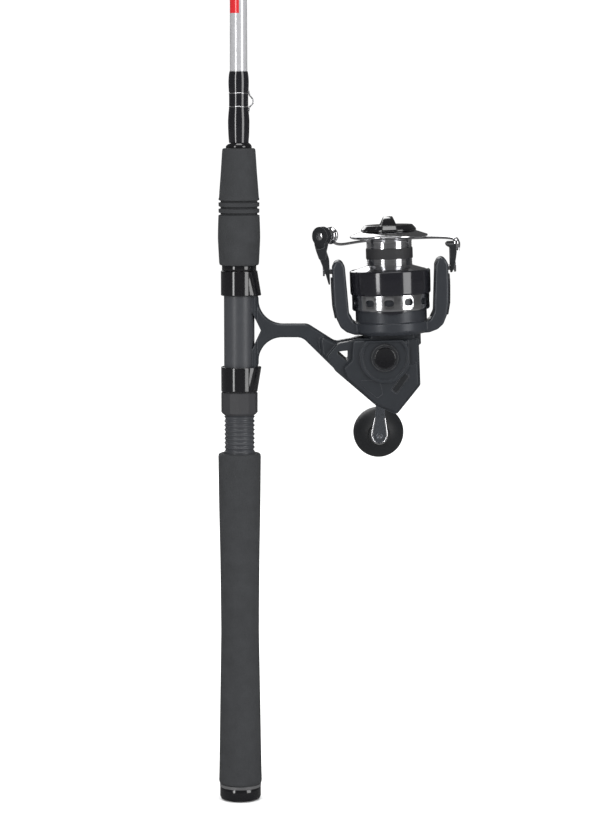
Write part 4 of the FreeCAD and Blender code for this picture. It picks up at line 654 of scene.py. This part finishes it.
drum = turned("drum", [(22.9, 14.6), (24.8, 14.6, 0.8), (27.8, 17.0, 1.2), (27.8, 23.2, 0.8),
                       (DRUM, 23.4, 0.3), (DRUM, 50.0, 1.5), (24.1, 50.0), (24.1, 40.0), (6.5, 40.0),
                       (6.5, 41.5), (2.8, 41.5), (2.8, 34.6), (6.5, 34.6), (6.5, 37.0),
                       (22.9, 37.0)], REEL, corner=0.0, steps=192)
ARM = [(20.0, 14.6), (27.0, 14.9), (33.0, 17.0), (37.2, 20.6), (40.0, 27.0), (41.6, 36.0), (42.0, 48.0),
       (42.0, 64.0), (39.6, 68.8), (35.0, 68.8), (32.6, 64.0), (30.6, 30.0), (27.0, 23.2), (20.0, 23.2)]
arms = []
for side in (-1, 1):
    arm = slab("arm", [(side * x, z) for x, z in ARM], -12.0, 12.0, REEL, 4.0, 8)
    arm = rounded(arm, 1.8, 4, 50)
    inside = turned("inside", [(0, 24.8), (30.2, 24.8), (30.2, 80), (0, 80)], REEL, steps=256, closed=False)
    core = turned("core", [(0, 0), (24.5, 0), (24.5, 80), (0, 80)], REEL, steps=192, closed=False)
    screw = turned("screw", [(0, 33), (2.05, 33), (2.05, 50), (0, 50)], along((0, 0, 61.0), (side, 0, 0)),
                   steps=48, closed=False)
    cutters = [inside, core, screw]
    if side < 0:
        cutters.append(turned("pocket", [(0, 37.6), (6.2, 37.6), (6.2, 50), (0, 50)],
                              along((0, 0, 46.0), (side, 0, 0)), steps=64, closed=False))
    arms.append(carved(arm, *cutters))
show(cast(joined("rotor_casting", drum, *arms), 0.4, 4), "rotor", "rotor_graphite",
     ["rotor"])
for side_name in ("left", "right"):
    node = "arm_cover_" + side_name
    show(cast(copy_of(node, "arm_plate_" + side_name), 0.16, 4), "rotor", "cap_plastic",
         [node])

# ------------------------------------------------------------------ spool

skirt = [(26.6, 43.6), (28.75, 43.6, 0.2), (29.15, 44.6), (29.3, 52.0), (29.3, 60.2, 0.9), (28.0, 60.95, 0.2),
         (26.6, 60.0)]
show(turned("spool_skirt", skirt, REEL, corner=0.1, steps=192), "spool", "spool_alloy",
     ["spool"], 40)
band = turned("spool_band", [(26.6, 32.0), (27.6, 32.0, 0.3), (28.2, 33.0, 0.5), (28.2, 43.5, 0.15),
                             (26.6, 43.5)], REEL,
              steps=192)
lug = turned("spool_lug", [(26.65, 30.0), (27.75, 30.0), (27.75, 32.4), (26.65, 32.4)], REEL, steps=192)
lug_front = turned("lug_front", [(0, -40), (30.0, -40), (30.0, 0), (0, 0)], along((0, 0, 60.0), (0, 1, 0)),
                   steps=192, closed=False)
lug = kept_inside(lug, lug_front)
ports = []
for port in range(PORTS):
    turn = REEL @ Matrix.Rotation(math.radians(360.0 * port / PORTS + PORT_TURN), 4, "Z")
    ports.append(slab("port", [(-3.5, 35.9), (3.5, 35.9), (3.5, 40.5), (-3.5, 40.5)], -32, -24, turn, 2.28,
                      10))
band = rounded(carved(band, joined("ports", *ports)), 0.35, 3, 50)
show(band, "spool", "spool_silver", (), 40)
show(lug, "spool", "spool_alloy", (), 40)


def arbor_groove(low):
    """Shallow groove round the spool's arbor."""
    return [(ARBOR, low, 0.1), (ARBOR - 0.55, low + 0.35, 0.15), (ARBOR, low + 0.7, 0.1)]


head = [(1.85, 56.2), (5.0, 56.2), (5.0, 69.0), (CAVITY, 69.0), (CAVITY, 58.8), (26.6, 58.8),
        (27.2, 60.6, 0.2), (ARBOR, 63.9, 0.6)]
for groove in (64.9, 66.3, 67.7):
    head += arbor_groove(groove)
head += [(ARBOR, 69.0), (15.7, 69.0), (15.7, 76.6), (ARBOR, 76.6)]
for groove in (77.4, 78.8, 80.2):
    head += arbor_groove(groove)
head += [(ARBOR, 82.4, 1.5), (26.6, 83.85, 1.0), (LIP, 84.7, 0.6), (LIP, 85.8, 0.6), (26.0, 86.6, 2.0),
         (20.4, 88.6, 0.3), (CAVITY, 88.6), (CAVITY, 71.0), (1.85, 71.0)]
show(turned("spool_head", head, REEL, corner=0.0, steps=192), "spool", "spool_silver", (), 35)
show(turned("rubber_band", [(15.7, 69.0), (17.0, 69.0, 0.3), (17.0, 76.6, 0.3), (15.7, 76.6)], REEL,
            corner=0.0),
     "spool", "band_rubber", ["arbor_band"], 40)

# ------------------------------------------------------------------ drag knob

knob = turned("knob", [(1.85, 83.6), (13.6, 83.6), (13.6, 88.9), (20.0, 88.9, 0.3), (20.0, 90.2, 0.6),
                       (17.3, 93.3, 0.9), (1.85, 93.3)], REEL, corner=0.0)
fin = slab("fin", [(-7.0, 91.0), (7.0, 91.0), (5.6, 93.1), (3.0, 99.5, 1.2), (-3.4, 99.5, 1.2), (-6.0, 93.1)],
           -17.2, 17.2, REEL, 0.0)
dome_line = [(0, 75.4), (20.0, 80.0), (DRAG_DOME, 86.0)]
for degrees in range(30, 90, 3):
    angle = math.radians(degrees)
    dome_line.append((DRAG_DOME * math.cos(angle), 75.5 + DRAG_DOME * math.sin(angle)))
dome = turned("dome", dome_line + [(0, 99.5)], REEL, steps=96, closed=False)
fin = kept_inside(fin, dome)
show(cast(joined("drag_control", knob, fin), 0.3, 4), "drag_knob", "gloss_black",
     ["drag_knob"])

# ------------------------------------------------------------------ bail

roller_place = along(ROLLER_AT, ROLLER_WAY)
neck = slab("neck", [(-46.2, 70.0), (-45.4, 76.0), (-43.8, 82.0), (-47.0, 84.0), (-52.0, 84.0), (-54.4, 82.0),
                     (-53.2, 77.0), (-51.0, 70.0)], -12.2, -1.5, REEL, 2.0)
room = turned("room", [(0, 2.6), (7.4, 2.6), (7.4, 20), (0, 20)], roller_place, steps=96, closed=False)
clear = turned("clear", [(0, -20.0), (9.0, -20.0), (9.0, -2.2), (0, -2.2)], roller_place, steps=96,
               closed=False)
neck = carved(neck, room)
lever = carved(cast(joined("roller_lever", copy_of("roller_arm", "lever"), neck), 0.25, 6), clear)
show(lever, "bail", "cap_plastic", ["roller_arm"], 25)
show(cast(copy_of("bail_arm", "bail_lever"), 0.22, 5), "bail", "cap_plastic", ["bail_arm"])
show(turned("roller", [(1.9, 2.9), (5.9, 2.9), (6.35, 3.2), (6.4, 3.8), (6.1, 4.3), (5.2, 4.9), (4.9, 5.8),
                       (4.8, 7.0), (4.9, 8.2), (5.2, 9.1), (6.1, 9.7), (6.4, 10.2), (6.35, 10.9), (5.9, 11.3),
                       (1.9, 11.3)],
            roller_place, steps=96), "roller", "chrome_wire", ["line_roller"], 50)
loop = wire("loop", [(-40.6, 3.4, 82.6), (-38.9, 8.0, 80.2), (-34.0, 19.0, 79.0), (-27.6, 31.0, 79.4),
                     (-16.0, 42.5, 80.2), (3.0, 49.5, 80.6), (23.0, 44.5, 80.8), (38.0, 30.5, 81.4),
                     (47.0, 16.5, 81.2), (51.0, 6.5, 79.8), (51.0, 0.4, 77.0), (49.8, 0.0, 73.0)], 1.0, REEL)
cone = turned("cone", [(0, -0.6), (1.75, -0.6), (1.75, 11.4), (5.2, 11.6), (5.6, 12.0), (5.4, 12.7),
                       (4.2, 13.3), (2.2, 13.6), (0, 13.6)], roller_place, steps=96, closed=False)
show(joined("bail_loop", loop, cone), "bail", "chrome_wire", ["bail_wire"], 40)
show(turned("wire_end", [(0, -2.0), (3.5, -2.0), (4.1, -1.4), (4.1, 0.9), (3.6, 1.7), (2.1, 2.4), (0, 2.6)],
            along((48.6, -0.4, 78.4), (1, 0, 0.1)), steps=64, closed=False), "bail", "chrome_wire",
     (), 50)
head_screw = turned("head_screw", [(0, -1.2), (2.9, -1.2), (2.9, 0.1), (2.4, 0.5), (0, 0.6)],
                    along(SCREW_AT, SCREW_WAY), steps=48, closed=False)
cross = []
for turn in (0, 90):
    place = along(SCREW_AT, SCREW_WAY) @ Matrix.Rotation(math.radians(45 + turn), 4, "Z")
    cross.append(slab("cross", [(-1.8, 0.0), (1.8, 0.0), (1.8, 2.0), (-1.8, 2.0)], -0.35, 0.35, place))
show(carved(head_screw, *cross), "bail", "chrome_wire", (), 40)

# ------------------------------------------------------------------ crank handle

show(cast(copy_of("handle_arm", "crank_arm"), 0.25, 2), "crank", "handle_alloy",
     ["handle_arm"])
arm_place = crank_axis @ Matrix.Rotation(math.radians(CRANK_ANGLE), 4, "Y")


def arm_face(z):
    """How far the arm's near face stands from the reel's middle plane, at a height below the crank."""
    share = (-z - 11.0) / (50.5 - 11.0)
    share = min(1.0, max(0.0, share))
    return HUB_FACE + (END_FACE - HUB_FACE) * share


def arm_edge(inset):
    """Half outline of the arm's lower end, from the hub side down and round the tip."""
    side = [(ARM_HALF - inset, z) for z in range(-12, -49, -2)]
    side += [(ARM_HALF - inset + (ARM_END - ARM_HALF) * share / 8,
              -48.5 - 16.0 * share / 8) for share in range(1, 8)]
    for step in range(0, 10):
        angle = math.radians(8.0 - step * 98.0 / 9)
        side.append(((ARM_END - inset) * math.cos(angle), -ARM_LENGTH + (ARM_END - inset) * math.sin(angle)))
    return side


def arm_rim(name, outer, inner, rise, place):
    """Raised bright edge that follows the arm's outline down one side, round the tip and up the other."""
    paths = []
    for inset, lift in ((outer, -0.2), (outer, rise * 0.6), (outer + 0.25, rise), (inner - 0.25, rise),
                        (inner, rise * 0.6), (inner, -0.2)):
        half = arm_edge(inset)
        loop = half + [(-x, z) for x, z in reversed(half[:-1])]
        paths.append([(x, arm_face(z) - lift, z) for x, z in loop])
    mesh = bpy.data.meshes.new(name)
    work = bmesh.new()
    rows = [[work.verts.new(Vector(point) * MM) for point in path] for path in paths]
    for i in range(len(rows)):
        low = rows[i]
        high = rows[(i + 1) % len(rows)]
        for j in range(len(low) - 1):
            work.faces.new((low[j], low[j + 1], high[j + 1], high[j]))
    work.faces.new([row[0] for row in rows])
    work.faces.new([row[-1] for row in rows])
    bmesh.ops.recalc_face_normals(work, faces=work.faces[:])
    work.to_mesh(mesh)
    work.free()
    mesh.transform(place)
    return new_piece(name, mesh)


show(arm_rim("arm_rim", 0.1, 1.25, 0.35, arm_place), "crank", "chrome_wire", (), 60)
rivet_place = arm_place @ Matrix.Translation(Vector((0, END_FACE, -ARM_LENGTH)) * MM)
rivet_place = rivet_place @ Matrix.Rotation(math.radians(90), 4, "X")
show(turned("axle_rivet", [(0, 0.5), (1.0, 0.5), (1.3, 0.75), (2.2, 0.95), (2.6, 0.75), (2.75, 0.3),
                           (2.75, -0.2), (0, -0.2)],
            rivet_place, steps=48, closed=False), "crank", "handle_alloy", (), 50)
knob_low, knob_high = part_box("handle_knob")
knob_spot = Vector(((knob_low.x + knob_high.x) / 2, knob_low.y, (knob_low.z + knob_high.z) / 2))
ball = [(4.25, 0.0), (7.4, 0.0), (7.9, 0.4), (8.0, 1.2), (8.0, 4.8)]
for step in range(0, 31):
    angle = math.radians(-64.0 + step * 5.1)
    ball.append((BALL * math.cos(angle), BALL_AT + BALL * math.sin(angle)))
ball += [(0, BALL_AT + BALL), (0, 34.7), (4.25, 34.7)]
knob_place = Matrix.Translation(knob_spot) @ Matrix.Rotation(math.radians(-90), 4, "X")
show(turned("ball_knob", ball, knob_place, steps=128), "knob", "knob_rubber", ["handle_knob"],
     50)

# ------------------------------------------------------------------ camera, lights and floor

def area_light(name, place, target, size, power):
    light = bpy.data.lights.new(name, "AREA")
    light.shape = "RECTANGLE"
    light.size = size[0]
    light.size_y = size[1]
    light.energy = power
    lamp = bpy.data.objects.new(name, light)
    lamp.location = place
    lamp.rotation_euler = (Vector(target) - Vector(place)).to_track_quat("-Z", "Y").to_euler()
    bpy.context.scene.collection.objects.link(lamp)


camera_data = bpy.data.cameras.new("camera")
camera_data.sensor_fit = "VERTICAL"
camera_data.sensor_height = 36.0
camera_data.lens = 121.5
camera_data.clip_end = 50.0
camera = bpy.data.objects.new("camera", camera_data)
camera.location = (0.0489, -2.0, 0.5146)
camera.rotation_euler = (math.radians(90.0 - 6.4), 0, 0)
bpy.context.scene.collection.objects.link(camera)
bpy.context.scene.camera = camera

floor_mesh = bpy.data.meshes.new("floor")
work = bmesh.new()
bmesh.ops.create_grid(work, x_segments=24, y_segments=24, size=FLOOR_HALF_SIZE)
work.to_mesh(floor_mesh)
work.free()
floor = new_piece("floor", floor_mesh)
floor.location = (0, 0, CAD_BOX[0][2] - FLOOR_GAP)
surface("floor_card", (0.96, 0.96, 0.96), rough=0.9, scale=40, bump=0.02, tint=0.01)
floor.data.materials.append(PAINT["floor_card"])
card = PAINT["floor_card"].node_tree
card.nodes["Principled BSDF"].inputs["Specular IOR Level"].default_value = 0.0
# Painted shade in reflections: where the floor is seen in a reflection its colour is swapped for the dark
# FLOOR_REFLECTION grey. Seen directly or in diffuse light it stays evenly bright.
seen = card.nodes.new("ShaderNodeLightPath")
shade = card.nodes.new("ShaderNodeMix")
shade.data_type = "RGBA"
shade.inputs[7].default_value = (FLOOR_REFLECTION, FLOOR_REFLECTION, FLOOR_REFLECTION, 1)
card.links.new(seen.outputs["Is Glossy Ray"], shade.inputs[0])
card.links.new(card.nodes["Principled BSDF"].inputs["Base Color"].links[0].from_socket, shade.inputs[6])
card.links.new(shade.outputs[2], card.nodes["Principled BSDF"].inputs["Base Color"])

world = bpy.data.worlds.new("studio")
world.use_nodes = True
world.node_tree.nodes["Background"].inputs["Color"].default_value = (1, 1, 1, 1)
sky = world.node_tree.nodes
rays = sky.new("ShaderNodeLightPath")
dim = sky.new("ShaderNodeMapRange")
dim.inputs["To Min"].default_value = SKY_LIGHT
dim.inputs["To Max"].default_value = SKY_REFLECTION
world.node_tree.links.new(rays.outputs["Is Glossy Ray"], dim.inputs["Value"])
world.node_tree.links.new(dim.outputs["Result"], sky["Background"].inputs["Strength"])
bpy.context.scene.world = world
bpy.context.scene.view_settings.view_transform = "Standard"
area_light("left_box", (-1.35, -1.95, 0.9), (0.05, 0, 0.45), (0.45, 2.2), 22)
area_light("right_box", (1.75, -1.5, 0.8), (0.05, 0, 0.45), (0.95, 2.2), 26)
area_light("top_box", (0.1, -0.5, 3.0), (0.1, 0, 0.4), (1.6, 1.2), 26)
area_light("back_box", (-0.6, 2.4, 1.6), (0.1, 0, 0.6), (1.6, 1.6), 20)
